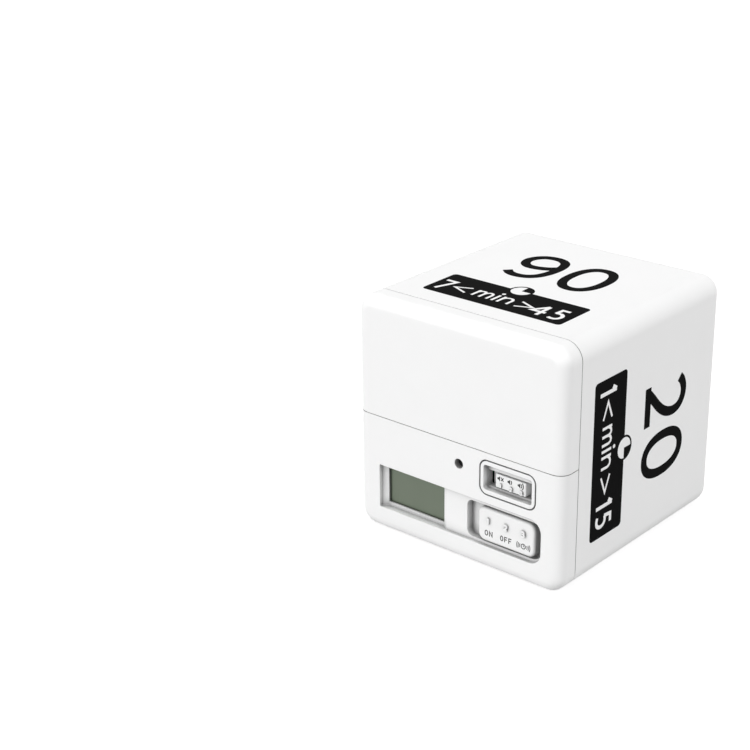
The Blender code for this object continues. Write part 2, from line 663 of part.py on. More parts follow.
def volume_bezel():
    """Ring that lies flush in the panel, with a flange behind it and a slot in its floor."""
    bezel = piece("volume_bezel", across(BEZEL_X, BEZEL_WIDTH - 2 * GAP), (FRONT, BEZEL_BACK),
                  across(BEZEL_Z, BEZEL_HEIGHT - 2 * GAP), "part", corner=BEZEL_RADIUS - GAP)
    flange = piece("bezel_flange", across(BEZEL_X, BEZEL_WIDTH + 2 * BEZEL_FLANGE),
                   (COVER_INSIDE + GAP, BEZEL_BACK), across(BEZEL_Z, BEZEL_HEIGHT + 2 * BEZEL_FLANGE))
    window = piece("bezel_window", across(BEZEL_X, BEZEL_WINDOW_WIDTH),
                   (FRONT - OVERRUN, FRONT + BEZEL_WINDOW_DEPTH), across(BEZEL_Z, BEZEL_WINDOW_HEIGHT),
                   corner=BEZEL_WINDOW_RADIUS, steps=SMALL_STEPS)
    slot = piece("bezel_slot", across(BEZEL_X, VOLUME_WIDTH + 2 * VOLUME_TRAVEL + 2 * GAP),
                 (FRONT, BEZEL_BACK + OVERRUN), across(VOLUME_Z, VOLUME_HEIGHT + 2 * GAP))
    join(bezel, flange)
    cut(bezel, window, slot)
    return paint(bezel, (0.93, 0.93, 0.93), 0.32)


def socket_for_lever(name, x, z, front, back):
    """Hollow that takes a lever's tip."""
    return piece(name, across(x, LEVER_WIDTH + 2 * GAP), (front, back), across(z, LEVER_HEIGHT + 2 * GAP))


def volume_knob():
    """Small slider in the ring, with a flange behind the ring's floor."""
    knob = piece("volume_knob", across(BEZEL_X, VOLUME_WIDTH), (VOLUME_FRONT, VOLUME_BACK),
                 across(VOLUME_Z, VOLUME_HEIGHT), "part", corner=VOLUME_EDGE, rim=VOLUME_EDGE, ends="-",
                 steps=SMALL_STEPS, rim_steps=SMALL_STEPS)
    flange = piece("knob_flange", across(BEZEL_X, VOLUME_WIDTH + 2 * VOLUME_FLANGE),
                   (BEZEL_BACK + GAP, VOLUME_BACK), across(VOLUME_Z, VOLUME_HEIGHT + 2 * VOLUME_FLANGE))
    join(knob, flange)
    start = VOLUME_BACK - LEVER_FIT
    cut(knob, socket_for_lever("knob_socket", BEZEL_X, VOLUME_Z, start, VOLUME_BACK + OVERRUN))
    return paint(knob, (0.93, 0.93, 0.93), 0.36)


def stem_end():
    return POCKET_BACK + GAP + CLIP_THICKNESS


def mode_slider():
    """Wide plate in the pocket, with a stem through the pocket's floor."""
    plate = piece("mode_slider", across(MODE_X, MODE_WIDTH), (MODE_FRONT, POCKET_BOTTOM_Y - GAP),
                  across(MODE_Z, MODE_HEIGHT), "part", corner=MODE_RADIUS, rim=MODE_EDGE, ends="-",
                  rim_steps=SMALL_STEPS)
    stem = piece("mode_stem", across(MODE_X, STEM_WIDTH), (POCKET_BOTTOM_Y - GAP - BITE, stem_end()),
                 across(MODE_Z, STEM_HEIGHT))
    join(plate, stem)
    start = stem_end() - LEVER_FIT
    cut(plate, socket_for_lever("mode_socket", MODE_X, MODE_Z, start, stem_end() + OVERRUN))
    return paint(plate, (0.93, 0.93, 0.93), 0.36)


def mode_slider_clip():
    """Clip round the stem, behind the pocket's floor."""
    front = POCKET_BACK + GAP
    clip = piece("mode_slider_clip", across(MODE_X, STEM_WIDTH + 2 * CLIP_BORDER), (front, stem_end()),
                 across(MODE_Z, STEM_HEIGHT + 2 * CLIP_BORDER), "part")
    cut(clip, piece("clip_hole", across(MODE_X, STEM_WIDTH + 2 * GAP),
                    (front - OVERRUN, stem_end() + OVERRUN), across(MODE_Z, STEM_HEIGHT + 2 * GAP)))
    return paint(clip, (0.78, 0.78, 0.76), 0.45)


def slide_switch(name, x, z, travel):
    """Housing of a slide switch on the board, with a slot for its lever."""
    housing = piece(name, across(x, SWITCH_WIDTH), (SWITCH_FRONT, SWITCH_BACK),
                    across(z, SWITCH_HEIGHT), "part")
    cut(housing, piece(f"{name}_slot", across(x, LEVER_WIDTH + 2 * travel + 2 * GAP),
                       (SWITCH_FRONT - OVERRUN, SWITCH_BACK - SWITCH_FLOOR),
                       across(z, LEVER_HEIGHT + 2 * GAP)))
    return paint(housing, (0.62, 0.62, 0.63), 0.3, 1.0)


def switch_lever(name, x, z, front):
    """Peg that stands out of a slide switch and ends in the socket of what moves it."""
    lever = piece(name, across(x, LEVER_WIDTH), (front, LEVER_BACK), across(z, LEVER_HEIGHT), "part")
    return paint(lever, (0.03, 0.03, 0.03), 0.45)


def lcd_panel():
    glass = piece("lcd_panel", (GLASS_LEFT, GLASS_RIGHT), (GLASS_FRONT, GLASS_BACK),
                  (GLASS_BASE, GLASS_TOP), "part")
    return paint(glass, (0.18, 0.22, 0.17), 0.2)


def zebra_span():
    """Low and high ends of the connector strip, in height."""
    low = GLASS_BASE + TRAY_WALL / 2
    return low, low + ZEBRA_THICKNESS


def lcd_holder():
    """Tray that holds the display against the window, open behind down to the board."""
    edge = GAP + TRAY_WALL
    holder = piece("lcd_holder", (GLASS_LEFT - edge, GLASS_RIGHT + edge), (GLASS_FRONT, BOARD_FRONT - GAP),
                   (GLASS_BASE - edge, GLASS_TOP + edge), "part")
    seat = GLASS_BACK + GAP
    inside = (GLASS_LEFT - GAP, GLASS_RIGHT + GAP)
    levels = (GLASS_BASE - GAP, GLASS_TOP + GAP)
    nest = piece("holder_nest", inside, (GLASS_FRONT - OVERRUN, seat), levels)
    behind = piece("holder_behind", inside, (seat + TRAY_FLOOR, BOARD_FRONT + OVERRUN), levels)
    low, high = zebra_span()
    slot = piece("holder_slot", (GLASS_LEFT + TRAY_WALL - GAP, GLASS_RIGHT - TRAY_WALL + GAP),
                 (seat - OVERRUN, seat + TRAY_FLOOR + OVERRUN), (low - GAP, high + GAP))
    cut(holder, nest, behind, slot)
    return paint(holder, (0.85, 0.85, 0.85), 0.4)


def zebra_strip():
    """Soft connector strip between the display and the board."""
    strip = piece("zebra_strip", (GLASS_LEFT + TRAY_WALL, GLASS_RIGHT - TRAY_WALL),
                  (GLASS_BACK + GAP, BOARD_FRONT - GAP), zebra_span(), "part")
    return paint(strip, (0.12, 0.12, 0.13), 0.7)


def circuit_board():
    """Board behind the panel, drilled for its screws and cut round the panel's taller posts."""
    board = piece("circuit_board", (BOARD_LEFT, -BOARD_LEFT), (BOARD_FRONT, BOARD_BACK),
                  (BOARD_BASE, BOARD_TOP), "part")
    past = (BOARD_FRONT - OVERRUN, BOARD_BACK + OVERRUN)
    for name, (x, z) in BOARD_SCREWS.items():
        cut(board, rod(f"{name}_hole", BOARD_SCREW_RADIUS + GAP, *past, x, z, "cutter", SMALL_SIDES))
    for name, (x, z) in PANEL_SCREWS.items():
        radius = PANEL_SCREW_RADIUS + POST_WALL + 2 * GAP
        cut(board, rod(f"{name}_notch", radius, *past, x, z, "cutter", SMALL_SIDES))
    return paint(board, (0.02, 0.16, 0.06), 0.4)


def controller_chip():
    """Blob of black resin over the chip."""
    angles = [QUARTER * i / SMALL_STEPS for i in range(SMALL_STEPS + 1)]
    profile = [(CHIP_RADIUS * math.sin(a), CHIP_HEIGHT * math.cos(a)) for a in angles]
    chip = turned("controller_chip", [*profile, (0, 0)], (CHIP_X, BOARD_BACK + GAP, CHIP_Z),
                  (-QUARTER, 0, 0), SMALL_SIDES)
    return paint(chip, (0.02, 0.02, 0.02), 0.3)


def buzzer():
    """Round sounder with a port in its front."""
    length, port = BUZZER_LENGTH, BUZZER_PORT
    profile = [(0, length - port), (port, length - port), (port, length),
               (BUZZER_RADIUS - BUZZER_EDGE, length), (BUZZER_RADIUS, length - BUZZER_EDGE),
               (BUZZER_RADIUS, 0), (0, 0)]
    sounder = turned("buzzer", profile, (SOUND_X, SWITCH_BACK, SOUND_Z), (QUARTER, 0, 0))
    return paint(sounder, (0.02, 0.02, 0.02), 0.5)


def sensor():
    """Round chamber in a square case, its lid, and the ball that falls to the chamber's lowest point."""
    back = SENSOR_FRONT + SENSOR_DEPTH
    sides = across(SENSOR_X, SENSOR_SIZE)
    levels = across(SENSOR_Z, SENSOR_SIZE)
    case = piece("sensor_case", sides, (SENSOR_FRONT, back), levels, "part", corner=SENSOR_RADIUS, steps=1)
    bore = rod("sensor_bore", SENSOR_BORE, SENSOR_FRONT + SENSOR_FLOOR, back + OVERRUN, SENSOR_X, SENSOR_Z,
               "cutter")
    cut(case, bore)
    paint(case, (0.75, 0.72, 0.62), 0.5)
    lid_front = back + GAP
    lid = piece("sensor_lid", sides, (lid_front, lid_front + SENSOR_LID), levels, "part",
                corner=SENSOR_RADIUS, steps=1)
    paint(lid, (0.75, 0.72, 0.62), 0.5)
    bm = bmesh.new()
    bmesh.ops.create_uvsphere(bm, u_segments=SMALL_SIDES, v_segments=SMALL_SIDES // 2, radius=BALL_RADIUS)
    ball_y = SENSOR_FRONT + SENSOR_FLOOR + BALL_ROOM + BALL_RADIUS
    ball = mesh_object("sensor_ball", bm, (SENSOR_X, ball_y, SENSOR_Z - BALL_DROP), "part")
    paint(ball, (0.7, 0.7, 0.72), 0.15, 1.0)


def can_profile(radius, length):
    return [(0, length), (radius, length), (radius, 0), (0, 0)]


def crystal():
    """Can that lies along X on the board."""
    radius, length = CRYSTAL_RADIUS, CRYSTAL_LENGTH
    place = (CRYSTAL_X - length / 2, BOARD_BACK + GAP + radius, CRYSTAL_Z)
    can = turned("crystal", can_profile(radius, length), place, (0, QUARTER, 0), SMALL_SIDES)
    return paint(can, (0.7, 0.7, 0.7), 0.25, 1.0)


def capacitor():
    """Can that stands on the board."""
    place = (CAPACITOR_X, BOARD_BACK + GAP, CAPACITOR_Z)
    can = turned("capacitor", can_profile(CAPACITOR_RADIUS, CAPACITOR_LENGTH), place, (-QUARTER, 0, 0),
                 SMALL_SIDES)
    return paint(can, (0.05, 0.08, 0.2), 0.4)


def frame_clip(frame, side, top):
    """Springy arm with a barb that holds the frame behind a catch of the body."""
    near, far, tip = frame_clip_levels(top)
    end = FRAME_BACK + CLIP_REACH
    width = across(side * CLIP_X, CLIP_WIDTH)
    arm = piece(f"clip_arm_{side}_{top}", width, (FRAME_FRONT + BITE, end), sorted((near, far)))
    barb = piece(f"clip_barb_{side}_{top}", width, (end - BARB_LENGTH, end),
                 sorted((tip, (near + far) / 2)))
    join(frame, arm, barb)


def inner_frame():
    """Frame that clips into the body: a plate with a window behind the board, and the battery bay."""
    edge = FRAME_EDGE
    frame = piece("inner_frame", (LEFT + edge, RIGHT - edge), (FRAME_FRONT, FRAME_BACK),
                  (edge, HEIGHT - edge), "part", corner=FRAME_RADIUS, steps=SMALL_STEPS)
    past = (FRAME_FRONT - OVERRUN, FRAME_BACK + OVERRUN)
    window = piece("frame_window", (LEFT + FRAME_WINDOW_MARGIN, RIGHT - FRAME_WINDOW_MARGIN), past,
                   (FRAME_WINDOW_BASE, FRAME_WINDOW_TOP), corner=FRAME_WINDOW_RADIUS, steps=SMALL_STEPS)
    bay = piece("frame_bay", across(0, 2 * BAY_HALF + 2 * BAY_WALL), (BAY_FRONT, FRAME_FRONT + BITE),
                (BAY_BASE - BAY_WALL, BAY_TOP + BAY_WALL))
    inside = piece("frame_bay_inside", across(0, 2 * BAY_HALF), (BAY_FRONT - OVERRUN, FRAME_FRONT),
                   (BAY_BASE, BAY_TOP))
    join(frame, bay)
    cut(frame, inside, window)
    for name, (x, z) in PANEL_SCREWS.items():
        cut(frame, rod(f"{name}_frame_hole", PANEL_SCREW_RADIUS + GAP, *past, x, z, "cutter", SMALL_SIDES))
    for name, z in (("negative", CELL_HIGH_Z), ("positive", CELL_LOW_Z)):
        cut(frame, piece(f"tail_slot_{name}", across(LEFT_PLATE_X, CONTACT_THICKNESS + 2 * GAP), past,
                         across(z, TAIL_WIDTH + 2 * GAP)))
    for side in (-1, 1):
        for top in (False, True):
            frame_clip(frame, side, top)
    return paint(frame, (0.82, 0.82, 0.8), 0.45)


def cell(name, z, direction):
    """One cell, with its nub towards the given side."""
    body = CELL_LENGTH - NUB_LENGTH
    flat = CELL_RADIUS - CELL_EDGE
    profile = [(0, CELL_LENGTH), (NUB_RADIUS, CELL_LENGTH), (NUB_RADIUS, body), (flat, body),
               (CELL_RADIUS, body - CELL_EDGE), (CELL_RADIUS, CELL_EDGE), (flat, 0), (0, 0)]
    start = direction * (BAY_HALF - 2 * GAP - CONTACT_THICKNESS - CELL_LENGTH)
    made = turned(name, profile, (start, CELL_Y, z), (0, direction * QUARTER, 0))
    return paint(made, (0.1, 0.1, 0.11), 0.35, 0.6)


def contact_plate(name, x, low, high):
    return piece(name, across(x, CONTACT_THICKNESS), across(CELL_Y, CONTACT_SIZE), (low, high), "part")


def contacts():
    """Two left contacts with tails through the frame, and one bridge on the right."""
    for name, z in (("contact_plate_negative", CELL_HIGH_Z), ("contact_plate_positive", CELL_LOW_Z)):
        plate = contact_plate(name, LEFT_PLATE_X, *across(z, CONTACT_SIZE))
        join(plate, piece(f"{name}_tail", across(LEFT_PLATE_X, CONTACT_THICKNESS),
                          (CELL_Y, FRAME_BACK + TAIL_REACH), across(z, TAIL_WIDTH)))
        paint(plate, (0.75, 0.73, 0.68), 0.25, 1.0)
    bridge = contact_plate("contact_bridge", RIGHT_PLATE_X, CELL_LOW_Z - CONTACT_SIZE / 2,
                           CELL_HIGH_Z + CONTACT_SIZE / 2)
    paint(bridge, (0.75, 0.73, 0.68), 0.25, 1.0)


def least_gap(points, radius, turn):
    """Least distance between a coil's turns, less the wire."""
    pairs = ((i, j) for i in range(len(points)) for j in range(i + turn // 2, len(points)))
    return min((points[i] - points[j]).length for i, j in pairs) - 2 * radius


def contact_spring(name, z, direction):
    """Tapering coil between a contact plate and the flat end of a cell."""
    count = SPRING_TURNS * SPRING_STEPS
    start = -direction * (BAY_HALF - 2 * GAP - CONTACT_THICKNESS - SPRING_WIRE)
    length = SPRING_LENGTH - 2 * GAP - 2 * SPRING_WIRE
    points = []
    for i in range(count + 1):
        share = i / count
        radius = CELL_RADIUS * (SPRING_BASE_SHARE + (SPRING_TIP_SHARE - SPRING_BASE_SHARE) * share)
        angle = math.tau * i / SPRING_STEPS
        x = start + direction * length * share
        points.append(Vector((x, CELL_Y + radius * math.cos(angle), z + radius * math.sin(angle))))
    print(f"{name}: least gap between turns {least_gap(points, SPRING_WIRE, SPRING_STEPS) * 1000:.2f} mm")
    return paint(tube(name, points, SPRING_WIRE, 1), (0.75, 0.73, 0.68), 0.25, 1.0)


def screw(name, place, radius, length, head_radius, head_height, underside):
    """Pan-head screw that runs forwards, with a straight slot in its head."""
    x, z = place
    profile = [(0, head_height), (head_radius * HEAD_FLAT_SHARE, head_height),
               (head_radius, head_height / 2), (head_radius, 0), (radius, 0), (radius, radius - length),
               (0, -length)]
    made = turned(name, profile, (x, underside, z), (-QUARTER, 0, 0), SMALL_SIDES)
    top = underside + head_height
    slot = piece(f"{name}_slot", across(x, 2 * head_radius + OVERRUN),
                 (top - head_height * HEAD_SLOT_DEPTH_SHARE, top + OVERRUN),
                 across(z, head_radius * HEAD_SLOT_SHARE))
    cut(made, slot)
    return paint(made, (0.55, 0.55, 0.56), 0.3, 1.0)


def screws():
    for name, place in BOARD_SCREWS.items():
        screw(name, place, BOARD_SCREW_RADIUS, BOARD_SCREW_LENGTH, BOARD_HEAD_RADIUS, BOARD_HEAD_HEIGHT,
              BOARD_BACK + GAP)
    for name, place in PANEL_SCREWS.items():
        screw(name, place, PANEL_SCREW_RADIUS, PANEL_SCREW_LENGTH, PANEL_HEAD_RADIUS, PANEL_HEAD_HEIGHT,
              FRAME_BACK + GAP)


def lead_route(name, z):
    """From a contact's tail behind the frame, in a bow down to the frame's window and in to the board."""
    start = Vector((LEFT_PLATE_X + LEAD_SIDE, FRAME_BACK, z - LEAD_START_DROP))
    pad_x = LEFT + FRAME_WINDOW_MARGIN + LEAD_PAD_MARGIN[name]
    pad = Vector((pad_x, BOARD_BACK + GAP, FRAME_WINDOW_TOP - LEAD_PAD_DROP[name]))
    route = []
    for x, down, bow in LEAD_DOWN_SHARES:
        height = start.z + (FRAME_WINDOW_TOP - start.z) * down
        route.append((start.x + (pad.x - start.x) * x, FRAME_BACK + LEAD_BOW * bow, height))
    for x, down, deep in LEAD_IN_SHARES:
        height = FRAME_WINDOW_TOP + (pad.z - FRAME_WINDOW_TOP) * down
        back = FRAME_BACK + LEAD_BOW * LEAD_DOWN_SHARES[-1][2]
        route.append((start.x + (pad.x - start.x) * x, back + (pad.y - back) * deep, height))
    return route


def leads():
    for name, z, colour in (
        ("lead_negative", CELL_HIGH_Z, (0.02, 0.02, 0.02)),
        ("lead_positive", CELL_LOW_Z, (0.5, 0.02, 0.02)),
    ):
        paint(tube(name, smooth_route(lead_route(name, z), LEAD_STEPS), LEAD_RADIUS, 1), colour, 0.4)


def main():
    tidy_scene()
    body_shell()
    control_panel()
    battery_door()
    volume_bezel()
    volume_knob()
    mode_slider()
    mode_slider_clip()
    slide_switch("volume_switch", BEZEL_X, VOLUME_Z, VOLUME_TRAVEL)
    switch_lever("volume_switch_lever", BEZEL_X, VOLUME_Z, VOLUME_BACK - LEVER_FIT + GAP)
    slide_switch("mode_switch", MODE_X, MODE_Z, MODE_TRAVEL)
    switch_lever("mode_switch_lever", MODE_X, MODE_Z, stem_end() - LEVER_FIT + GAP)
    lcd_panel()
    lcd_holder()
    zebra_strip()
    circuit_board()
    controller_chip()
    buzzer()
    sensor()
    crystal()
    capacitor()
    inner_frame()
    cell("battery_upper", CELL_HIGH_Z, 1)
    cell("battery_lower", CELL_LOW_Z, -1)
    contacts()
    contact_spring("contact_spring_upper", CELL_HIGH_Z, 1)
    contact_spring("contact_spring_lower", CELL_LOW_Z, -1)
    screws()
    leads()
    settle()


main()
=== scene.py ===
"""Looks of the cube timer: fine shells, prints, display, cells, finishes, floor, light and camera.

Sizes are in millimetres, and become metres where a mesh is made. The control face looks along -Y.
"""

import json
import math

import bmesh
import bpy
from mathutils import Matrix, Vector, geometry


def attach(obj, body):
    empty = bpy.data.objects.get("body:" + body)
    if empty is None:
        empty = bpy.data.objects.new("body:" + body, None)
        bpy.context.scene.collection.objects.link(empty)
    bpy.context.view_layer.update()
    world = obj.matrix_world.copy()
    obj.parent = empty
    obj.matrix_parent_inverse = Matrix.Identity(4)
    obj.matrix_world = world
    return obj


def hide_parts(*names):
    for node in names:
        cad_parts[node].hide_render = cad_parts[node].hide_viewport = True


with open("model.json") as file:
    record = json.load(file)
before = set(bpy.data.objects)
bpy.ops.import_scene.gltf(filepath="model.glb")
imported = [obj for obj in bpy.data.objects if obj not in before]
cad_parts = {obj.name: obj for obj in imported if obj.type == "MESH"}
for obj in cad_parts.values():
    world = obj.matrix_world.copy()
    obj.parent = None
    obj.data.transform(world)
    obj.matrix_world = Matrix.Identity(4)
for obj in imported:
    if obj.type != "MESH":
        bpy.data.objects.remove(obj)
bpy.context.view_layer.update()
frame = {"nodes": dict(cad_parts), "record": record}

MM = 0.001
QUARTER = math.radians(90)

# Outer form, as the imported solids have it
LEFT, RIGHT = -30.0, 30.0
FRONT, BACK = -32.0, 32.0
TOP = 60.0
EDGE_RADIUS, FACE_RADIUS, INNER_RADIUS = 4.5, 3.0, 1.0
WALL, GAP = 2.0, 0.3
INSIDE = FRONT + WALL
LIP_STEP, LIP_REACH = 1.1, 1.5

# The cover meets the body at the seam, and its two halves meet at the split
SEAM, SEAM_GAP, SPLIT = -26.0, 0.16, 30.15

# Cuts run past what they cut, and joined pieces reach into each other
OVERRUN, BITE = 1.0, 0.5

# Print lies in the outermost part of the four printed sides, and small edges are broken
INK, INK_ROOT = 0.02, 0.005
SEAM_EDGE, MOUTH_EDGE = 0.08, 0.15
LEAST_RADIUS = 0.05

# Control face
RECESS_X, RECESS_Z = (-23.3, 24.4), (6.246, 17.45)
RECESS_FLOOR = -31.0
RECESS_RADII = (0.2, 3.2, 3.2, 0.2)
BACKING = 0.8
WINDOW_X, WINDOW_Z, WINDOW_RADIUS = (-23.3, -3.35), (6.246, 17.45), 0.2
OPENING_X, OPENING_Z = (-21.95, -4.75), (7.25, 16.6)
WINDOW_SLOPE_END = -30.1
SLIVER = 0.02  # keeps the faces of the window's cutter off those of the recess
GLASS_FRONT, GLASS_BACK = -29.4, -26.8
GLASS_X, GLASS_Z = (-24.1, -3.05), (4.646, 18.25)
POCKET_X, POCKET_Z = (2.8, 24.4), (6.946, 16.25)
POCKET_RADII = (1.5, 2.8, 2.8, 1.5)
POCKET_FLOOR, POCKET_BACK, POCKET_WALL = -29.0, -27.8, 1.2
MODE_X, MODE_Z = 14.4, 11.598
MODE_WIDTH, MODE_HEIGHT, MODE_FRONT = 16.2, 8.704, -31.5
MODE_RADIUS, MODE_EDGE, MODE_TRAVEL = 1.9, 0.8, 1.5
STEM_WIDTH, STEM_HEIGHT, STEM_END = 5.0, 3.6, -26.5
RING_X, RING_Z = 14.85, 23.9
RING_WIDTH, RING_HEIGHT, RING_RADIUS = 15.9, 8.9, 2.2
RING_FLANGE, RING_BACK = 0.5, -28.7
RING_WINDOW_WIDTH, RING_WINDOW_HEIGHT, RING_FLOOR = 13.5, 6.2, -30.3
RING_WINDOW_RADIUS = 0.6
KNOB_Z, KNOB_WIDTH, KNOB_HEIGHT = 23.3, 8.6, 3.4
KNOB_FRONT, KNOB_BACK, KNOB_EDGE, KNOB_TRAVEL = -30.7, -27.4, 0.3, 2.0
KNOB_FLANGE, KNOB_FLANGE_RISE, KNOB_FLANGE_THICKNESS = 2.0, 0.9, 1.0
LEVER_WIDTH, LEVER_HEIGHT, LEVER_FIT = 1.8, 1.4, 1.6
SOUND_X, SOUND_Z, SOUND_RADIUS, COLLAR_RADIUS = 0.9, 24.95, 1.2, 2.4
SOUND_WALL, SOUND_STEP = 1.5, 0.7
BUZZER_FRONT = -27.4
BOARD_FRONT = -21.6
FRAME_FRONT, FRAME_BACK = -17.4, -15.9
BOARD_SCREWS = ((-13.685, 24.0), (0.6, 13.248), (26.0, 17.25))
PANEL_SCREWS = ((-24.6, 26.2), (25.7, 26.2), (0.6, 5.2))
BOARD_BORE, PANEL_BORE, POST_WALL, POST_STEPS = 1.1, 1.3, 0.8, 6

# Black gauze whose black stands in for the shade deep in the sound hole: a sagging middle, then (in from its edge,
# behind its front) of a raised rim and of the back
GAUZE_MIDDLE, GAUZE_SAG = 0.2, 0.12
GAUZE_RIM = ((0.4, 0.1), (0.3, 0.0), (0.05, 0.0), (0.0, 0.05), (0.0, 0.3))

# Lip of the panel that stands up behind the battery door, from a root in the panel's wall
SHELF_WIDTH, SHELF_THICKNESS, SHELF_TOP = 54.8, 1.2, 32.0
SHELF_ROOT_DROP, SHELF_LIP_DROP = 2.6, 2.1

# Inside of the body and of the battery door
RIB_HEIGHT, RIB_THICKNESS = 2.6, 1.2
CLIP_X, CLIP_WIDTH = 14.0, 7.0
CATCH_Y, CATCH_RISE = (-13.8, -12.6), 3.1
TONGUE_X, TONGUE_WIDTH, TONGUE_BACK = 13.0, 8.0, -21.5
TONGUE_Z = (56.6, 57.7)
REST_X, REST_THICKNESS, REST_BACK, REST_Z = 11.0, 1.2, -28.5, (38.65, 50.05)

# Fineness of rounded shapes
CORNER_STEPS, RIM_STEPS, EDGE_STEPS = 12, 10, 3
WINDOW_STEPS, KNOB_STEPS, MODE_STEPS = 4, 4, 6

# Edges bent more than SHARP stay sharp, faces bent less than FLAT and points closer than MERGE become one
SHARP, FLAT = math.radians(35), math.radians(0.02)
MERGE = 1e-4


def arc(centre, radius, start, end, steps):
    """Points from one angle to another round a centre."""
    angles = [start + (end - start) * i / steps for i in range(steps + 1)]
    return [(centre[0] + radius * math.cos(a), centre[1] + radius * math.sin(a)) for a in angles]


def outline(x, z, radii, out=0.0, steps=CORNER_STEPS):
    """A rounded rectangle grown by out, anticlockwise from its lower left corner."""
    x0, x1, z0, z1 = x[0] - out, x[1] + out, z[0] - out, z[1] + out
    r = [max(radius + out, LEAST_RADIUS) for radius in radii]
    centres = ((x0 + r[0], z0 + r[0]), (x1 - r[1], z0 + r[1]), (x1 - r[2], z1 - r[2]), (x0 + r[3], z1 - r[3]))
    points = []
    for i, centre in enumerate(centres):
        points += arc(centre, r[i], (i + 2) * QUARTER, (i + 3) * QUARTER, steps)
    return points


def skin(rings, endless=False):
    """Joins rings of points one after another, and closes both ends or joins the last to the first."""
    bm = bmesh.new()
    loops = [[bm.verts.new(point) for point in ring] for ring in rings]
    for first, second in zip(loops, [*loops[1:], loops[0]] if endless else loops[1:]):
        for i in range(len(first)):
            bm.faces.new((first[i - 1], first[i], second[i], second[i - 1]))
    if not endless:
        bm.faces.new(loops[0])
        bm.faces.new(loops[-1])
    return bm


def form(x, z, radii, profile, steps=CORNER_STEPS):
    """A closed form whose outline grows and shrinks along Y as the profile's (out, y) points say."""
    rings = [[(px, y, pz) for px, pz in outline(x, z, radii, out, steps)] for out, y in profile]
    return skin(rings)


def add(name, data):
    """A new object in the scene."""
    obj = bpy.data.objects.new(name, data)
    bpy.context.scene.collection.objects.link(obj)
    return obj


def place(name, bm):
    """A new object of a mesh in millimetres, with its faces turned out."""
    bmesh.ops.remove_doubles(bm, verts=bm.verts, dist=MERGE)
    bmesh.ops.recalc_face_normals(bm, faces=bm.faces)
    bmesh.ops.scale(bm, vec=(MM, MM, MM), verts=bm.verts)
    mesh = bpy.data.meshes.new(name)
    bm.to_mesh(mesh)
    bm.free()
    return add(name, mesh)


def shape_with(obj, joined, cut=()):
    """Joins an object with forms and cuts it with others, in turn."""
    made = []
    for operation, bm in [*(("UNION", bm) for bm in joined), *(("DIFFERENCE", bm) for bm in cut)]:
        tool = place("tool", bm)
        modifier = obj.modifiers.new("step", "BOOLEAN")
        modifier.operation, modifier.solver, modifier.object = operation, "EXACT", tool
        made.append(tool)
    graph = bpy.context.evaluated_depsgraph_get()
    mesh = bpy.data.meshes.new_from_object(obj.evaluated_get(graph))
    obj.modifiers.clear()
    obj.data = mesh
    for tool in made:
        bpy.data.objects.remove(tool)
    bm = bmesh.new()
    bm.from_mesh(mesh)
    bmesh.ops.remove_doubles(bm, verts=bm.verts, dist=MERGE * MM)
    bmesh.ops.dissolve_limit(bm, angle_limit=FLAT, verts=bm.verts, edges=bm.edges)
    bm.to_mesh(mesh)
    bm.free()
    return obj


def smooth(obj):
    """Shades rounded places smooth and keeps flat places flat."""
    obj.data.shade_smooth()
    obj.data.set_sharp_from_angle(angle=SHARP)
    weighted = obj.modifiers.new("Flats stay flat", "WEIGHTED_NORMAL")
    weighted.mode = "FACE_AREA"
    weighted.weight = 100
    weighted.keep_sharp = True
    return obj


def across(middle, width):
    """Both ends of a width about its middle."""
    return middle - width / 2, middle + width / 2


def block(x, y, z):
    """A closed box with its upright edges just broken."""
    return form(x, z, (0,) * 4, [(0, y[0]), (0, y[1])], 1)


def slab(x, width, z, height, y):
    """A closed box about a middle."""
    return block(across(x, width), y, across(z, height))


def plug(x, width, z, height, radius, profile, steps=CORNER_STEPS):
    """A closed form about a middle, with four equal corners."""
    return form(across(x, width), across(z, height), (radius,) * 4, profile, steps)


def rod(x, z, radius, y, steps=CORNER_STEPS):
    """A closed round bar along Y."""
    return plug(x, 2 * radius, z, 2 * radius, radius, [(0, y[0]), (0, y[1])], steps)


def mouth(face, edge, floor):
    """Profile of a cut from in front of a face to its floor, which breaks the mouth's edge."""
    bend = [(edge - edge * math.cos(a), face + edge - edge * math.sin(a))
            for a in (QUARTER * i / EDGE_STEPS for i in range(EDGE_STEPS, -1, -1))]
    return [(edge, face - OVERRUN), *bend, (0, floor)]


def crown(face, edge, back, steps=EDGE_STEPS):
    """Profile of a solid from its front face, with a rounded edge, to its back."""
    return [*arc((-edge, face + edge), edge, -QUARTER, 0, steps), (0, back)]


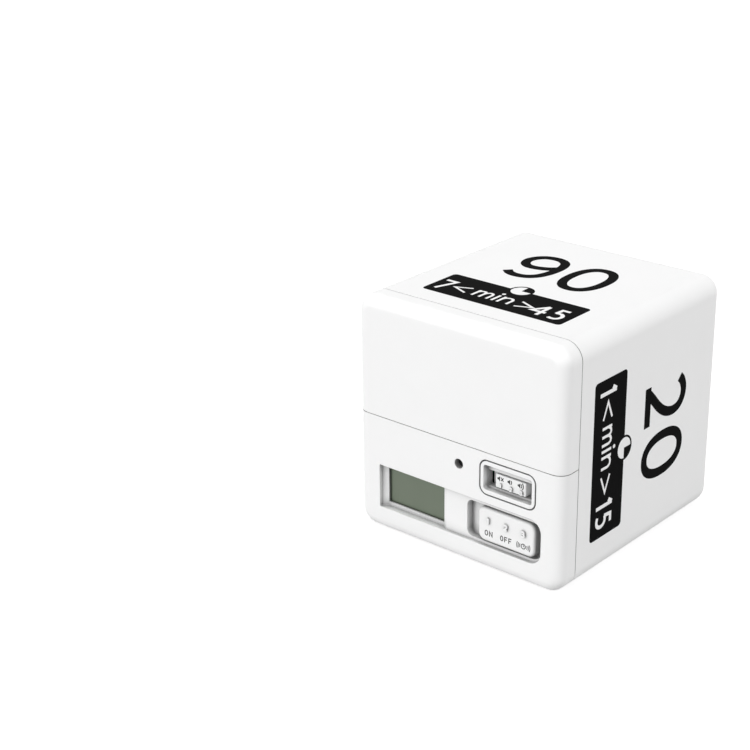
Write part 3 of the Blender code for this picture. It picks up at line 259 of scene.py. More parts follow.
def body():
    """Five-sided shell with the lip that carries the cover, four ribs and four catches."""
    x, z = (LEFT + INK, RIGHT - INK), (INK, TOP - INK)
    start = SEAM + SEAM_GAP / 2
    lip_end = start - LIP_REACH
    wall, lip = WALL - INK, LIP_STEP - INK
    profile = [
        *arc((-FACE_RADIUS, BACK - FACE_RADIUS), FACE_RADIUS, QUARTER, 0, RIM_STEPS),
        *arc((-SEAM_EDGE, start + SEAM_EDGE), SEAM_EDGE, 0, -QUARTER, EDGE_STEPS),
        (-lip, start),
        (-lip, lip_end + SEAM_EDGE),
        (-lip - SEAM_EDGE, lip_end),
        (-wall + SEAM_EDGE, lip_end),
        (-wall, lip_end + SEAM_EDGE),
        *arc((-wall - INNER_RADIUS, BACK - WALL - INNER_RADIUS), INNER_RADIUS, 0, QUARTER, EDGE_STEPS * 2),
    ]
    shell = place("body", form(x, z, (EDGE_RADIUS - INK,) * 4, profile))
    joined = []
    for side in (-1, 1):
        rib_x = sorted((side * (RIGHT - WALL - RIB_HEIGHT), side * (RIGHT - WALL + BITE)))
        for level in (TOP / 4, TOP * 3 / 4):
            joined.append(block(rib_x, (FRAME_BACK + GAP, BACK - WALL + BITE), across(level, RIB_THICKNESS)))
        for catch_z in ((WALL - BITE, CATCH_RISE), (TOP - CATCH_RISE, TOP - WALL + BITE)):
            joined.append(block(across(side * CLIP_X, CLIP_WIDTH), CATCH_Y, catch_z))
    return shape_with(shell, joined)


def cover_half(name, low, high):
    """The front cover between two heights, with its outer edges broken at the seam and the split."""
    end = SEAM - SEAM_GAP / 2
    wall, rebate = WALL - INK, LIP_STEP - INK - GAP
    profile = [
        *arc((-FACE_RADIUS, FRONT + FACE_RADIUS), FACE_RADIUS, -QUARTER, 0, RIM_STEPS),
        (0, end),
        (-rebate, end),
        (-rebate, end - LIP_REACH),
        (-wall, end - LIP_REACH),
        *arc((-wall - INNER_RADIUS, INSIDE + INNER_RADIUS), INNER_RADIUS, 0, -QUARTER, EDGE_STEPS * 2),
    ]
    bm = form((LEFT + INK, RIGHT - INK), (INK, TOP - INK), (EDGE_RADIUS - INK,) * 4, profile)
    rims = []
    for level, lower in ((low, False), (high, True)):
        if not 0 < level < TOP:
            continue
        cut = bmesh.ops.bisect_plane(bm, geom=[*bm.verts, *bm.edges, *bm.faces], plane_co=(0, 0, level),
                                     plane_no=(0, 0, 1), clear_outer=lower, clear_inner=not lower)
        rims = [e for e in cut["geom_cut"] if isinstance(e, bmesh.types.BMEdge)]
        bmesh.ops.contextual_create(bm, geom=rims)
    seam = [e for e in bm.edges if all(abs(v.co.y - end) < MERGE for v in e.verts)
            and any(min(v.co.y for v in f.verts) < end - LIP_REACH - MERGE for f in e.link_faces)]
    bmesh.ops.bevel(bm, geom=list({*seam, *rims}), offset=SEAM_EDGE, offset_type="OFFSET",
                    segments=EDGE_STEPS, profile=0.5, affect="EDGES")
    return place(name, bm)


def screw_posts():
    """Posts from the cover's wall to the board and to the inner frame, and their bores."""
    posts, bores = [], []
    for places, hole, end in ((BOARD_SCREWS, BOARD_BORE, BOARD_FRONT - GAP),
                              (PANEL_SCREWS, PANEL_BORE, FRAME_FRONT - GAP)):
        for x, z in places:
            posts.append(rod(x, z, hole + POST_WALL, (INSIDE - BITE, end), POST_STEPS))
            bores.append(rod(x, z, hole, (INSIDE + BITE, end + OVERRUN), POST_STEPS))
    return posts, bores


def control_panel():
    """Lower half of the cover, with its recess, display window, pocket, holes and posts."""
    panel = cover_half("panel", 0, SPLIT - SEAM_GAP / 2)
    shelf_x = across(0, SHELF_WIDTH)
    shelf_back = INSIDE + GAP + SHELF_THICKNESS
    posts, bores = screw_posts()
    joined = [
        block((RECESS_X[0] - BACKING, RECESS_X[1] + BACKING), (INSIDE - BITE, GLASS_FRONT - GAP),
              (RECESS_Z[0] - BACKING, RECESS_Z[1] + BACKING)),
        block((POCKET_X[0] - POCKET_WALL, POCKET_X[1] + POCKET_WALL), (INSIDE - BITE, POCKET_BACK),
              (POCKET_Z[0] - POCKET_WALL, POCKET_Z[1] + POCKET_WALL)),
        block(shelf_x, (INSIDE - BITE, shelf_back), (SPLIT - SHELF_ROOT_DROP, SPLIT - GAP)),
        block(shelf_x, (INSIDE + GAP, shelf_back), (SPLIT - SHELF_LIP_DROP, SHELF_TOP)),
        rod(SOUND_X, SOUND_Z, COLLAR_RADIUS, (INSIDE - BITE, BUZZER_FRONT - GAP)),
    ]
    recess = form(RECESS_X, RECESS_Z, RECESS_RADII, mouth(FRONT, MOUTH_EDGE, RECESS_FLOOR))
    levels = ((WINDOW_X, WINDOW_Z, -BITE, RECESS_FLOOR - BITE), (WINDOW_X, WINDOW_Z, -SLIVER, RECESS_FLOOR - SLIVER),
              (OPENING_X, (WINDOW_Z[0], OPENING_Z[1]), SLIVER, WINDOW_SLOPE_END))
    slopes = skin([[(px, y, pz) for px, pz in outline(x, z, (WINDOW_RADIUS,) * 4, out, WINDOW_STEPS)]
                   for x, z, out, y in levels])
    opening = block(OPENING_X, (WINDOW_SLOPE_END - BITE, GLASS_FRONT - GAP + OVERRUN), OPENING_Z)
    pocket = form((POCKET_X[0], POCKET_X[1] - MOUTH_EDGE), POCKET_Z, POCKET_RADII,
                  [(MOUTH_EDGE, RECESS_FLOOR - BITE), *mouth(RECESS_FLOOR, MOUTH_EDGE, POCKET_FLOOR)[1:]])
    slot = slab(MODE_X, STEM_WIDTH + 2 * MODE_TRAVEL + 2 * GAP, MODE_Z, STEM_HEIGHT + 2 * GAP,
                (POCKET_FLOOR - BITE, POCKET_BACK + OVERRUN))
    ring_hole = plug(RING_X, RING_WIDTH, RING_Z, RING_HEIGHT, RING_RADIUS,
                     mouth(FRONT, MOUTH_EDGE, INSIDE + OVERRUN))
    room = 2 * RING_FLANGE + 2 * GAP
    ring_room = slab(RING_X, RING_WIDTH + room, RING_Z, RING_HEIGHT + room, (INSIDE + GAP / 2, RING_BACK + OVERRUN))
    profile = [*mouth(FRONT, MOUTH_EDGE, FRONT + SOUND_WALL), (SOUND_STEP, FRONT + SOUND_WALL),
               (SOUND_STEP, BUZZER_FRONT + OVERRUN)]
    sound = plug(SOUND_X, 2 * SOUND_RADIUS, SOUND_Z, 2 * SOUND_RADIUS, SOUND_RADIUS, profile)
    cuts = [recess, slopes, opening, pocket, slot, ring_hole, ring_room, sound]
    return shape_with(panel, joined + posts, cuts + bores)


def battery_door():
    """Upper half of the cover, with its tongues and the rests for the cells."""
    door = cover_half("door", SPLIT + SEAM_GAP / 2, TOP)
    joined = []
    for side in (-1, 1):
        joined.append(block(across(side * TONGUE_X, TONGUE_WIDTH), (INSIDE - BITE, TONGUE_BACK), TONGUE_Z))
        joined.append(block(across(side * REST_X, REST_THICKNESS), (INSIDE - BITE, REST_BACK), REST_Z))
    return shape_with(door, joined)


def volume_ring():
    """Flush ring with a window and a slot for the small slider."""
    ring = place("volume_ring", plug(RING_X, RING_WIDTH - 2 * GAP, RING_Z, RING_HEIGHT - 2 * GAP, RING_RADIUS - GAP,
                                     crown(FRONT, MOUTH_EDGE, RING_BACK)))
    flange = slab(RING_X, RING_WIDTH + 2 * RING_FLANGE, RING_Z, RING_HEIGHT + 2 * RING_FLANGE,
                  (INSIDE + GAP, RING_BACK))
    window = plug(RING_X, RING_WINDOW_WIDTH, RING_Z, RING_WINDOW_HEIGHT, RING_WINDOW_RADIUS,
                  mouth(FRONT, MOUTH_EDGE, RING_FLOOR))
    slot = slab(RING_X, KNOB_WIDTH + 2 * KNOB_TRAVEL + 2 * GAP, KNOB_Z, KNOB_HEIGHT + 2 * GAP,
                (RING_FLOOR - BITE, RING_BACK + OVERRUN))
    return shape_with(ring, [flange], [window, slot])


def lever_socket(x, z, back):
    """Cut for a switch lever in the back of a slider."""
    return slab(x, LEVER_WIDTH + 2 * GAP, z, LEVER_HEIGHT + 2 * GAP, (back - LEVER_FIT, back + OVERRUN))


def sound_shade_gauze():
    """Thin black gauze in a raised rim, laid against the wall behind the sound hole, whose black stands in for the
    shade deep in the hole.
    """
    front, reach = FRONT + SOUND_WALL, SOUND_RADIUS + SOUND_STEP - INK
    profile = [(GAUZE_MIDDLE - reach, front + GAUZE_SAG), *((-inset, front + depth) for inset, depth in GAUZE_RIM)]
    return place("sound_shade_gauze", plug(SOUND_X, 2 * reach, SOUND_Z, 2 * reach, reach, profile))


def volume_slider():
    """Small slider with a wider flange hidden behind the ring."""
    profile = crown(KNOB_FRONT, KNOB_EDGE, KNOB_BACK)
    knob = place("volume_slider_knob", plug(RING_X, KNOB_WIDTH, KNOB_Z, KNOB_HEIGHT, KNOB_EDGE, profile, KNOB_STEPS))
    flange = slab(RING_X, KNOB_WIDTH + 2 * KNOB_FLANGE, KNOB_Z, KNOB_HEIGHT + 2 * KNOB_FLANGE_RISE,
                  (KNOB_BACK - KNOB_FLANGE_THICKNESS, KNOB_BACK))
    return shape_with(knob, [flange], [lever_socket(RING_X, KNOB_Z, KNOB_BACK)])


def mode_plate():
    """Wide slider with a stem through the slot in the pocket's floor."""
    profile = crown(MODE_FRONT, MODE_EDGE, POCKET_FLOOR - GAP, MODE_STEPS)
    plate = place("mode_plate_slider", plug(MODE_X, MODE_WIDTH, MODE_Z, MODE_HEIGHT, MODE_RADIUS, profile))
    stem = slab(MODE_X, STEM_WIDTH, MODE_Z, STEM_HEIGHT, (POCKET_FLOOR - GAP - BITE, STEM_END))
    return shape_with(plate, [stem], [lever_socket(MODE_X, MODE_Z, STEM_END)])


# Strokes of the printed characters: points in a unit box, x to the right and y up

CURVE, LINE, RING = "curve", "line", "ring"
NINE = (
    (0.03, 0.115), (0.19, 0.03), (0.42, 0.0), (0.68, 0.04), (0.87, 0.16), (0.97, 0.35), (1.0, 0.56),
    (0.97, 0.75), (0.87, 0.9), (0.68, 0.985), (0.46, 1.0), (0.24, 0.96), (0.08, 0.86), (0.0, 0.715),
    (0.05, 0.57), (0.2, 0.475), (0.4, 0.455), (0.62, 0.485), (0.82, 0.55), (0.97, 0.63),
)
STROKES = {
    "0": ((RING, ()),),
    "O": ((RING, ()),),
    "9": ((CURVE, NINE),),
    "6": ((CURVE, tuple((1 - x, 1 - y) for x, y in NINE)),),
    "2": (
        (CURVE, ((0.06, 0.875), (0.22, 0.955), (0.46, 1.0), (0.72, 0.975), (0.92, 0.875), (0.985, 0.72),
                 (0.93, 0.56), (0.8, 0.42), (0.6, 0.285), (0.34, 0.15), (0.12, 0.03))),
        (LINE, ((-0.1, 0.0), (1.1, 0.0))),
    ),
    "3": (
        (CURVE, ((0.05, 0.9), (0.25, 0.98), (0.5, 1.0), (0.76, 0.95), (0.9, 0.81), (0.86, 0.65), (0.68, 0.55),
                 (0.3, 0.52))),
        (CURVE, ((0.3, 0.52), (0.7, 0.5), (0.93, 0.4), (1.0, 0.25), (0.9, 0.09), (0.66, 0.0), (0.35, 0.0),
                 (0.0, 0.06))),
    ),
    "1": ((LINE, ((-0.1, 0.8), (0.7, 1.08))), (LINE, ((0.75, 1.1), (0.75, -0.1)))),
    "4": ((LINE, ((0.74, -0.1), (0.74, 1.0))), (LINE, ((0.74, 1.0), (-0.05, 0.31), (1.1, 0.31)))),
    "5": (
        (LINE, ((0.95, 1.0), (0.2, 1.0), (0.12, 0.53))),
        (CURVE, ((0.1, 0.56), (0.35, 0.6), (0.68, 0.57), (0.92, 0.45), (1.0, 0.29), (0.92, 0.12), (0.7, 0.01),
                 (0.38, -0.02), (0.0, 0.03))),
    ),
    "7": ((LINE, ((-0.12, 1.0), (1.0, 1.0), (0.22, -0.1))),),
    "<": ((LINE, ((1.0, 1.0), (0.0, 0.5), (1.0, 0.0))),),
    ">": ((LINE, ((0.0, 1.0), (1.0, 0.5), (0.0, 0.0))),),
    "m": (
        (LINE, ((0.0, -0.1), (0.0, 1.1))),
        (CURVE, ((0.0, 0.62), (0.1, 0.88), (0.26, 1.0), (0.42, 0.94), (0.5, 0.68), (0.5, 0.3), (0.5, -0.1))),
        (CURVE, ((0.5, 0.62), (0.6, 0.88), (0.76, 1.0), (0.92, 0.94), (1.0, 0.68), (1.0, 0.3), (1.0, -0.1))),
    ),
    "n": (
        (LINE, ((0.0, -0.1), (0.0, 1.1))),
        (CURVE, ((0.0, 0.6), (0.2, 0.88), (0.5, 1.0), (0.84, 0.94), (1.0, 0.68), (1.0, 0.3), (1.0, -0.1))),
    ),
    "i": ((LINE, ((0.5, -0.1), (0.5, 1.1))),),
    "N": ((LINE, ((0.0, -0.1), (0.0, 1.0), (1.0, 0.0), (1.0, 1.1))),),
    "F": ((LINE, ((0.0, -0.1), (0.0, 1.0), (1.1, 1.0))), (LINE, ((0.0, 0.5), (0.9, 0.5)))),
}
RING_STEPS = 56
RING_SQUARENESS = 2.25
CURVE_STEPS = 6
MITRE_LIMIT = 2.6


def smooth_path(points, steps):
    """Points on a smooth curve through the given ones."""
    knots = [Vector(p) for p in (points[0], *points, points[-1])]
    route = []
    for a, b, c, d in zip(knots, knots[1:], knots[2:], knots[3:]):
        for i in range(steps):
            t = i / steps
            square = (2 * a - 5 * b + 4 * c - d) * t**2
            cube = (3 * b - a - 3 * c + d) * t**3
            route.append((2 * b + (c - a) * t + square + cube) / 2)
    return [*route, knots[-1]]


def ring_path():
    """An oval with slightly squared shoulders, in a unit box."""
    path = []
    for i in range(RING_STEPS + 1):
        a = math.tau * i / RING_STEPS
        reach = [math.copysign(abs(f) ** (2 / RING_SQUARENESS), f) for f in (math.cos(a), math.sin(a))]
        path.append(Vector((0.5 + reach[0] / 2, 0.5 + reach[1] / 2)))
    return path


def ribbon(path, width, closed):
    """Quads of a stroke along a path, which ends where it starts if it is closed."""
    before = [path[-2] if closed else None, *path[:-1]]
    after = [*path[1:], path[1] if closed else None]
    sides = []
    for back, point, ahead in zip(before, path, after):
        ways = [(b - a).normalized() for a, b in ((back, point), (point, ahead)) if a is not None and b is not None]
        along = sum(ways, Vector((0, 0))).normalized()
        normal = Vector((-along.y, along.x))
        spread = max(abs(normal.dot(Vector((-ways[0].y, ways[0].x)))), 1 / MITRE_LIMIT)
        sides.append((point + normal * width / 2 / spread, point - normal * width / 2 / spread))
    return [(a[1], b[1], b[0], a[0]) for a, b in zip(sides, sides[1:])]


def character(sign, left, base, width, height, stroke):
    """Quads of one character whose strokes fill the given box."""
    quads = []
    for kind, points in STROKES[sign]:
        if kind == RING:
            path = ring_path()
        elif kind == CURVE:
            path = smooth_path(points, CURVE_STEPS)
        else:
            path = [Vector(p) for p in points]
        scaled = [Vector((left + stroke / 2 + p.x * (width - stroke), base + stroke / 2 + p.y * (height - stroke)))
                  for p in path]
        if kind == LINE:
            scaled = trim_path(scaled, left, base, width, height)
        quads += ribbon(scaled, stroke, kind == RING)
    return quads


def trim_path(path, left, base, width, height):
    """Ends that run past the unit box stop at the character's box."""
    first, last = (Vector((min(max(p.x, left), left + width), min(max(p.y, base), base + height)))
                   for p in (path[0], path[-1]))
    return [first, *path[1:-1], last]


def film(name, layers, origin, right, up, height=INK):
    """Thin closed film: layers of (inked, polygons), where a later one covers those before it."""
    points, faces, ranks = [], [], []
    for rank, (_, polygons) in enumerate(layers):
        for polygon in polygons:
            area = sum(a.x * b.y - b.x * a.y for a, b in zip(polygon, [*polygon[1:], polygon[0]]))
            if abs(area) < MERGE:
                continue
            ordered = polygon if area > 0 else polygon[::-1]
            faces.append(list(range(len(points), len(points) + len(ordered))))
            points += ordered
            ranks.append(rank)
    verts, _, found, _, _, owners = geometry.delaunay_2d_cdt(points, [], faces, 1, MERGE)
    out = Vector(right).cross(Vector(up))
    bm = bmesh.new()
    tops = [bm.verts.new(Vector(origin) + Vector(right) * v.x + Vector(up) * v.y - out * INK_ROOT) for v in verts]
    for face, owner in zip(found, owners):
        if owner and layers[max(ranks[i] for i in owner)][0]:
            bm.faces.new([tops[i] for i in face])
    bmesh.ops.delete(bm, geom=[v for v in bm.verts if not v.link_faces], context="VERTS")
    bmesh.ops.dissolve_limit(bm, angle_limit=FLAT, verts=bm.verts, edges=bm.edges)
    grown = bmesh.ops.extrude_face_region(bm, geom=list(bm.faces))
    raised = [g for g in grown["geom"] if isinstance(g, bmesh.types.BMVert)]
    bmesh.ops.translate(bm, vec=out * (height + INK_ROOT), verts=raised)
    return place(name, bm)


# Prints of the four numbered sides: u runs to the right of the middle, v from the control face
PLATE = ((-19.65, 19.65), (11.3, 24.05))
PLATE_RADIUS, PLATE_STEPS = 1.0, 6
BADGE_V, BADGE_RADIUS, DIAL_RADIUS, SECTOR_RADIUS, SECTOR_STEPS = 24.05, 3.1, 2.6, 3.0, 12
BIG_BASE, BIG_HEIGHT, BIG_STROKE = 31.7, 17.9, 2.4
BIG_WIDTHS = {"9": 12.3, "6": 12.3, "2": 10.7, "3": 10.4, "0": 11.8}
BIG_SPLIT = (-1.45, 1.2)
SMALL_BASE, SMALL_HEIGHT, SMALL_STROKE = 13.5, 6.45, 0.98
SMALL_WIDTHS = {"1": 2.2, "7": 3.7, "5": 3.7, "3": 3.5, "4": 4.3, "0": 4.2}
SMALL_FIRST = -16.75
SMALL_TENS, SMALL_UNITS = 13.0, 14.0
WORD_BASE, WORD_HEIGHT, WORD_STROKE = 14.8, 3.95, 0.74
WORD_PLACES = (("m", -8.0, 4.9), ("i", -2.35, 0.85), ("n", -0.75, 3.45))
DOT_U, DOT_V, DOT_RADIUS, DOT_STEPS = -1.925, 19.825, 0.5225, 4
CHEVRON_BASE, CHEVRON_HEIGHT, CHEVRON_STROKE = 14.7, 4.1, 0.62
CHEVRONS = (("<", -14.2, 4.75), (">", 4.1, 4.75))
# Rows: name, large number, shortest and longest time, shift of the print, nudges of its two large digits, inset of
# its small ones, its origin and the way it reads
SIDES = (
    ("top", "90", "7", "45", (-0.18, 0.5), ((0.45, -0.3), (0.35, -0.4)), 0, (0, FRONT, TOP - INK), (1, 0, 0)),
    ("right", "20", "1", "15", (0.98, -0.05), ((0.2, 0.5), (0, 0)), 0.3, (RIGHT - INK, FRONT, TOP / 2), (0, 0, -1)),
    ("left", "60", "5", "30", (0, 0), ((0, 0), (0, 0)), 0, (LEFT + INK, FRONT, TOP / 2), (0, 0, 1)),
    ("bottom", "30", "3", "10", (0, 0), ((0, 0), (0, 0)), 0, (0, FRONT, INK), (-1, 0, 0)),
)


def disc(u, v, radius, steps=CORNER_STEPS):
    """Points of a circle, with so many steps to a quarter."""
    return [Vector(p) for p in arc((u, v), radius, 0, 4 * QUARTER, 4 * steps)[:-1]]


def side_print(name, big, first, last, shift, nudges, inset, origin, right):
    """Two large digits over a plate with the shortest and longest times and a quarter dial."""
    inked = []
    for sign, left, nudge in zip(big, (BIG_SPLIT[0] - BIG_WIDTHS[big[0]], BIG_SPLIT[1]), nudges):
        inked += character(sign, left + nudge[0], BIG_BASE + nudge[1], BIG_WIDTHS[sign], BIG_HEIGHT, BIG_STROKE)
    inked.append([Vector(p) for p in outline(*PLATE, (PLATE_RADIUS,) * 4, 0.0, PLATE_STEPS)])
    inked.append(disc(0, BADGE_V, BADGE_RADIUS))
    bare = [disc(0, BADGE_V, DIAL_RADIUS)]
    width = SMALL_WIDTHS[first]
    bare += character(first, SMALL_FIRST + inset - width / 2, SMALL_BASE, width, SMALL_HEIGHT, SMALL_STROKE)
    for sign, left in ((last[0], SMALL_TENS - SMALL_WIDTHS[last[0]]), (last[1], SMALL_UNITS)):
        bare += character(sign, left - inset, SMALL_BASE, SMALL_WIDTHS[sign], SMALL_HEIGHT, SMALL_STROKE)
    for sign, left, width in CHEVRONS:
        bare += character(sign, left, CHEVRON_BASE, width, CHEVRON_HEIGHT, CHEVRON_STROKE)
    for sign, left, width in WORD_PLACES:
        bare += character(sign, left, WORD_BASE, width, WORD_HEIGHT, WORD_STROKE)
    bare.append(disc(DOT_U, DOT_V, DOT_RADIUS, DOT_STEPS))
    rim = arc((0, BADGE_V), SECTOR_RADIUS, 0, QUARTER, SECTOR_STEPS)
    sector = [Vector(p) for p in ((0, BADGE_V), *rim)]
    layers = [(shown, [[p + Vector(shift) for p in polygon] for polygon in polygons])
              for shown, polygons in ((True, inked), (False, bare), (True, [sector]))]
    return film(f"print_{name}", layers, origin, right, (0, 1, 0))


# Marks on the two sliders, placed from the middle of the knob, the plate or the sign itself. A 1 takes only a
# share of a number's width, and words stand at columns -1 and 0 of the plate
BOW_STEPS = 8
ONE_SHARE = 0.6
KNOB_SPACING, KNOB_SIGN_X, KNOB_SIGN_Z = 2.85, -0.25, 0.72
SPEAKER = ((-0.6, -0.24), (-0.3, -0.24), (0.12, -0.64), (0.12, 0.64), (-0.3, 0.24), (-0.6, 0.24))
CROSS_X, CROSS_RISE, CROSS_STROKE = (0.4, 1.1), 0.42, 0.22
WAVE_X, WAVE_RADII, WAVE_SPREAD, WAVE_STROKE = -0.1, (0.62, 1.08), math.radians(46), 0.23
KNOB_NUMBER_X, KNOB_NUMBER_Z, KNOB_NUMBER = 0.25, -1.4, (0.95, 1.15)
KNOB_NUMBER_STROKE, KNOB_NUMBER_HEIGHT = 0.33, 0.4
MODE_SPACING, MODE_NUMBER_Z, MODE_NUMBER = 4.95, 0.4, (1.3, 1.7)
MODE_NUMBER_STROKE, MODE_NUMBER_HEIGHT = 0.45, 0.45
WORDS, WORD_Z = (("ON", -1, 0.98), ("OFF", 0, 0.88)), -2.7
LETTER_HEIGHT, LETTER_STROKE, LETTER_GAP = 1.4, 0.22, 0.3
CLOCK_RADIUS, CLOCK_STROKE, CLOCK_STEPS = 0.6, 0.2, 24
HANDS, HAND_STROKE = ((0, 0.4), (0.3, 0)), 0.16
RINGING_RADII, RINGING_SPREAD, RINGING_STROKE = (1.05, 1.45, 1.85), math.radians(26), 0.17


def front_film(name, quads, y, height=INK):
    """Film of marks on a face that looks along -Y."""
    return film(name, [(True, quads)], (0, y, 0), (1, 0, 0), (0, 0, 1), height)


def bow(centre, radius, middle, spread, stroke):
    """Part of a circle about a centre, as wide as the spread either side of its middle angle."""
    path = [Vector(p) for p in arc(centre, radius, middle - spread, middle + spread, BOW_STEPS)]
    return ribbon(path, stroke, False)


def bar(start, end, stroke):
    """A straight stroke."""
    return ribbon([Vector(start), Vector(end)], stroke, False)


def knob_signs():
    """Speakers with a cross, one wave and two waves."""
    quads = []
    for i in range(3):
        x, z = RING_X + KNOB_SPACING * (i - 1) + KNOB_SIGN_X, KNOB_Z + KNOB_SIGN_Z
        quads.append([Vector((x + u, z + v)) for u, v in SPEAKER])
        if i == 0:
            for rise in (CROSS_RISE, -CROSS_RISE):
                quads += bar((x + CROSS_X[0], z - rise), (x + CROSS_X[1], z + rise), CROSS_STROKE)
        for radius in WAVE_RADII[:i]:
            quads += bow((x + WAVE_X, z), radius, 0, WAVE_SPREAD, WAVE_STROKE)
    return front_film("volume_signs", quads, KNOB_FRONT)


def numbers(name, middle, spacing, base, size, stroke, y, height):
    """Numbers 1 to 3 that stand proud of a face."""
    quads = []
    for i, sign in enumerate("123"):
        width = size[0] * (ONE_SHARE if sign == "1" else 1)
        quads += character(sign, middle + spacing * (i - 1) - width / 2, base, width, size[1], stroke)
    return front_film(name, quads, y, height)


def word(text, middle, base, width):
    """Characters of one width side by side about a middle."""
    quads = []
    left = middle - (len(text) * width + (len(text) - 1) * LETTER_GAP) / 2
    for i, sign in enumerate(text):
        quads += character(sign, left + i * (width + LETTER_GAP), base, width, LETTER_HEIGHT, LETTER_STROKE)
    return quads


def mode_words():
    """ON, OFF and a ringing clock."""
    base = MODE_Z + WORD_Z
    quads = []
    for text, column, width in WORDS:
        quads += word(text, MODE_X + column * MODE_SPACING, base, width)
    centre = Vector((MODE_X + MODE_SPACING, base + LETTER_HEIGHT / 2))
    dial = [Vector(p) for p in arc(centre, CLOCK_RADIUS, 0, 4 * QUARTER, CLOCK_STEPS)]
    quads += ribbon(dial, CLOCK_STROKE, True)
    for tip in HANDS:
        quads += bar(centre, centre + Vector(tip), HAND_STROKE)
    for side in (0, 2 * QUARTER):
        for radius in RINGING_RADII:
            quads += bow(centre, radius, side, RINGING_SPREAD, RINGING_STROKE)
    return front_film("mode_words", quads, MODE_FRONT)


# Display: two glass plates, the lower edge of the rear one bare for its contacts, between two films.
# Rows: name, inset, inset at the bottom, front, back, broken edge, and whether it is glass
DISPLAY_LAYERS = (
    ("lcd_front_film", 0.5, 1.9, GLASS_FRONT, -29.2, 0.15, False),
    ("lcd_front_glass", 0.0, 1.3, -29.2, -28.2, 0.1, True),
    ("lcd_rear_glass", 0.0, 0.0, -28.2, -27.1, 0.1, True),
    ("lcd_reflector", 0.5, 0.5, -27.1, GLASS_BACK, 0.1, False),
)
LAYER_RADIUS, LAYER_STEPS = 0.4, 4


def display_layer(name, inset, lower, front, back, edge):
    """One layer of the display, set in from its edges, and further at the bottom where contacts lie."""
    x, z = (GLASS_X[0] + inset, GLASS_X[1] - inset), (GLASS_Z[0] + lower, GLASS_Z[1] - inset)
    profile = [(-edge / 2, front), (0, front + edge / 2), (0, back)]
    return place(name, form(x, z, (LAYER_RADIUS,) * 4, profile, LAYER_STEPS))


# Cells, springs and leads
CELL_Y, CELL_RADIUS, CELL_LENGTH, CELL_START = -22.95, 5.25, 44.5, -20.35
CELL_STEPS, SLEEVE_STEPS, CAN_STEPS, NUB_STEPS = 64, 6, 5, 4
SLEEVE, SLEEVE_LIP, SLEEVE_EDGE = 0.15, 0.85, 0.5
CAN_END, CAN_EDGE, CAN_GAP = 43.7, 0.35, 0.02
DISH_DEPTH, DISH_RADII = 0.1, (2.9, 3.2)
NUB_RADIUS, NUB_EDGE, NUB_RISE = 1.9, 0.25, 0.4
NUB_STEP_RADIUS, NUB_STEP_RISE, NUB_SLOPE = 3.7, 0.15, 0.25
CELLS = (("battery_lower", 38.95, -1), ("battery_upper", 49.75, 1))
SPRING_WIRE, SPRING_START, SPRING_LENGTH, SPRING_RADII = 0.2, 23.95, 2.0, (3.2025, 1.60125)
SPRING_TURNS, SPRING_STEPS, WIRE_STEPS = 3, 24, 4
LEADS = (
    ("lead_negative", "black_insulation",
     ((-24.05, -14.0, 49.4), (-23.85, -12.67, 46.75), (-22.99, -12.1, 40.78), (-21.52, -12.1, 33.93),
      (-19.66, -12.56, 28.41), (-18.0, -14.34, 25.04), (-17.4, -16.49, 23.67), (-17.4, -19.7, 23.4))),
    ("lead_positive", "red_insulation",
     ((-24.05, -14.0, 38.6), (-23.9, -12.67, 37.24), (-23.24, -12.1, 34.19), (-22.13, -12.1, 30.69),
      (-20.72, -12.56, 27.87), (-19.45, -14.34, 23.3), (-19.0, -16.49, 20.88), (-19.0, -19.7, 20.4))),
)
LEAD_RADIUS, LEAD_STEPS = 0.5, 8


def turned(name, profile, z, side, hollow=False):
    """A body of revolution about a cell's line, from (distance from its flat end, radius) points."""
    turns = [math.tau * i / CELL_STEPS for i in range(CELL_STEPS)]
    rings = [[(side * (CELL_START + x), CELL_Y + r * math.cos(a), z + r * math.sin(a)) for a in turns]
             for x, r in profile]
    return smooth(place(name, skin(rings, endless=hollow)))


def cell_sleeve(name, z, side):
    """Shrink sleeve, rolled in over both ends of the can."""
    edge, lip = SLEEVE_EDGE, CELL_RADIUS - SLEEVE_LIP
    low, high = (edge, CELL_RADIUS - edge), (CAN_END - edge, CELL_RADIUS - edge)
    outer = [*arc(low, edge, 2 * QUARTER, QUARTER, SLEEVE_STEPS), *arc(high, edge, QUARTER, 0, SLEEVE_STEPS)]
    inner = [*arc(high, edge - SLEEVE, 0, QUARTER, SLEEVE_STEPS),
             *arc(low, edge - SLEEVE, QUARTER, 2 * QUARTER, SLEEVE_STEPS)]
    profile = [(0, lip), *outer, (CAN_END, lip), (CAN_END - SLEEVE, lip), *inner, (SLEEVE, lip)]
    return turned(f"{name}_sleeve", profile, z, side, hollow=True)


def cell_can(name, z, side):
    """Metal can with a shallow dish at its flat end and a stepped nub at the other."""
    flat, end = SLEEVE + CAN_GAP, CAN_END - SLEEVE - CAN_GAP
    edge, outer = CAN_EDGE, CELL_RADIUS - SLEEVE - CAN_GAP
    profile = [
        (flat + DISH_DEPTH, DISH_RADII[0]),
        (flat, DISH_RADII[1]),
        *arc((flat + edge, outer - edge), edge, 2 * QUARTER, QUARTER, CAN_STEPS),
        *arc((end - edge, outer - edge), edge, QUARTER, 0, CAN_STEPS),
        (end, NUB_STEP_RADIUS + NUB_SLOPE),
        (end + NUB_STEP_RISE, NUB_STEP_RADIUS),
        (end + NUB_STEP_RISE, NUB_RADIUS + NUB_SLOPE),
        (end + NUB_RISE, NUB_RADIUS),
        *arc((CELL_LENGTH - NUB_EDGE, NUB_RADIUS - NUB_EDGE), NUB_EDGE, QUARTER, 0, NUB_STEPS),
    ]
    return turned(f"{name}_can", profile, z, side)


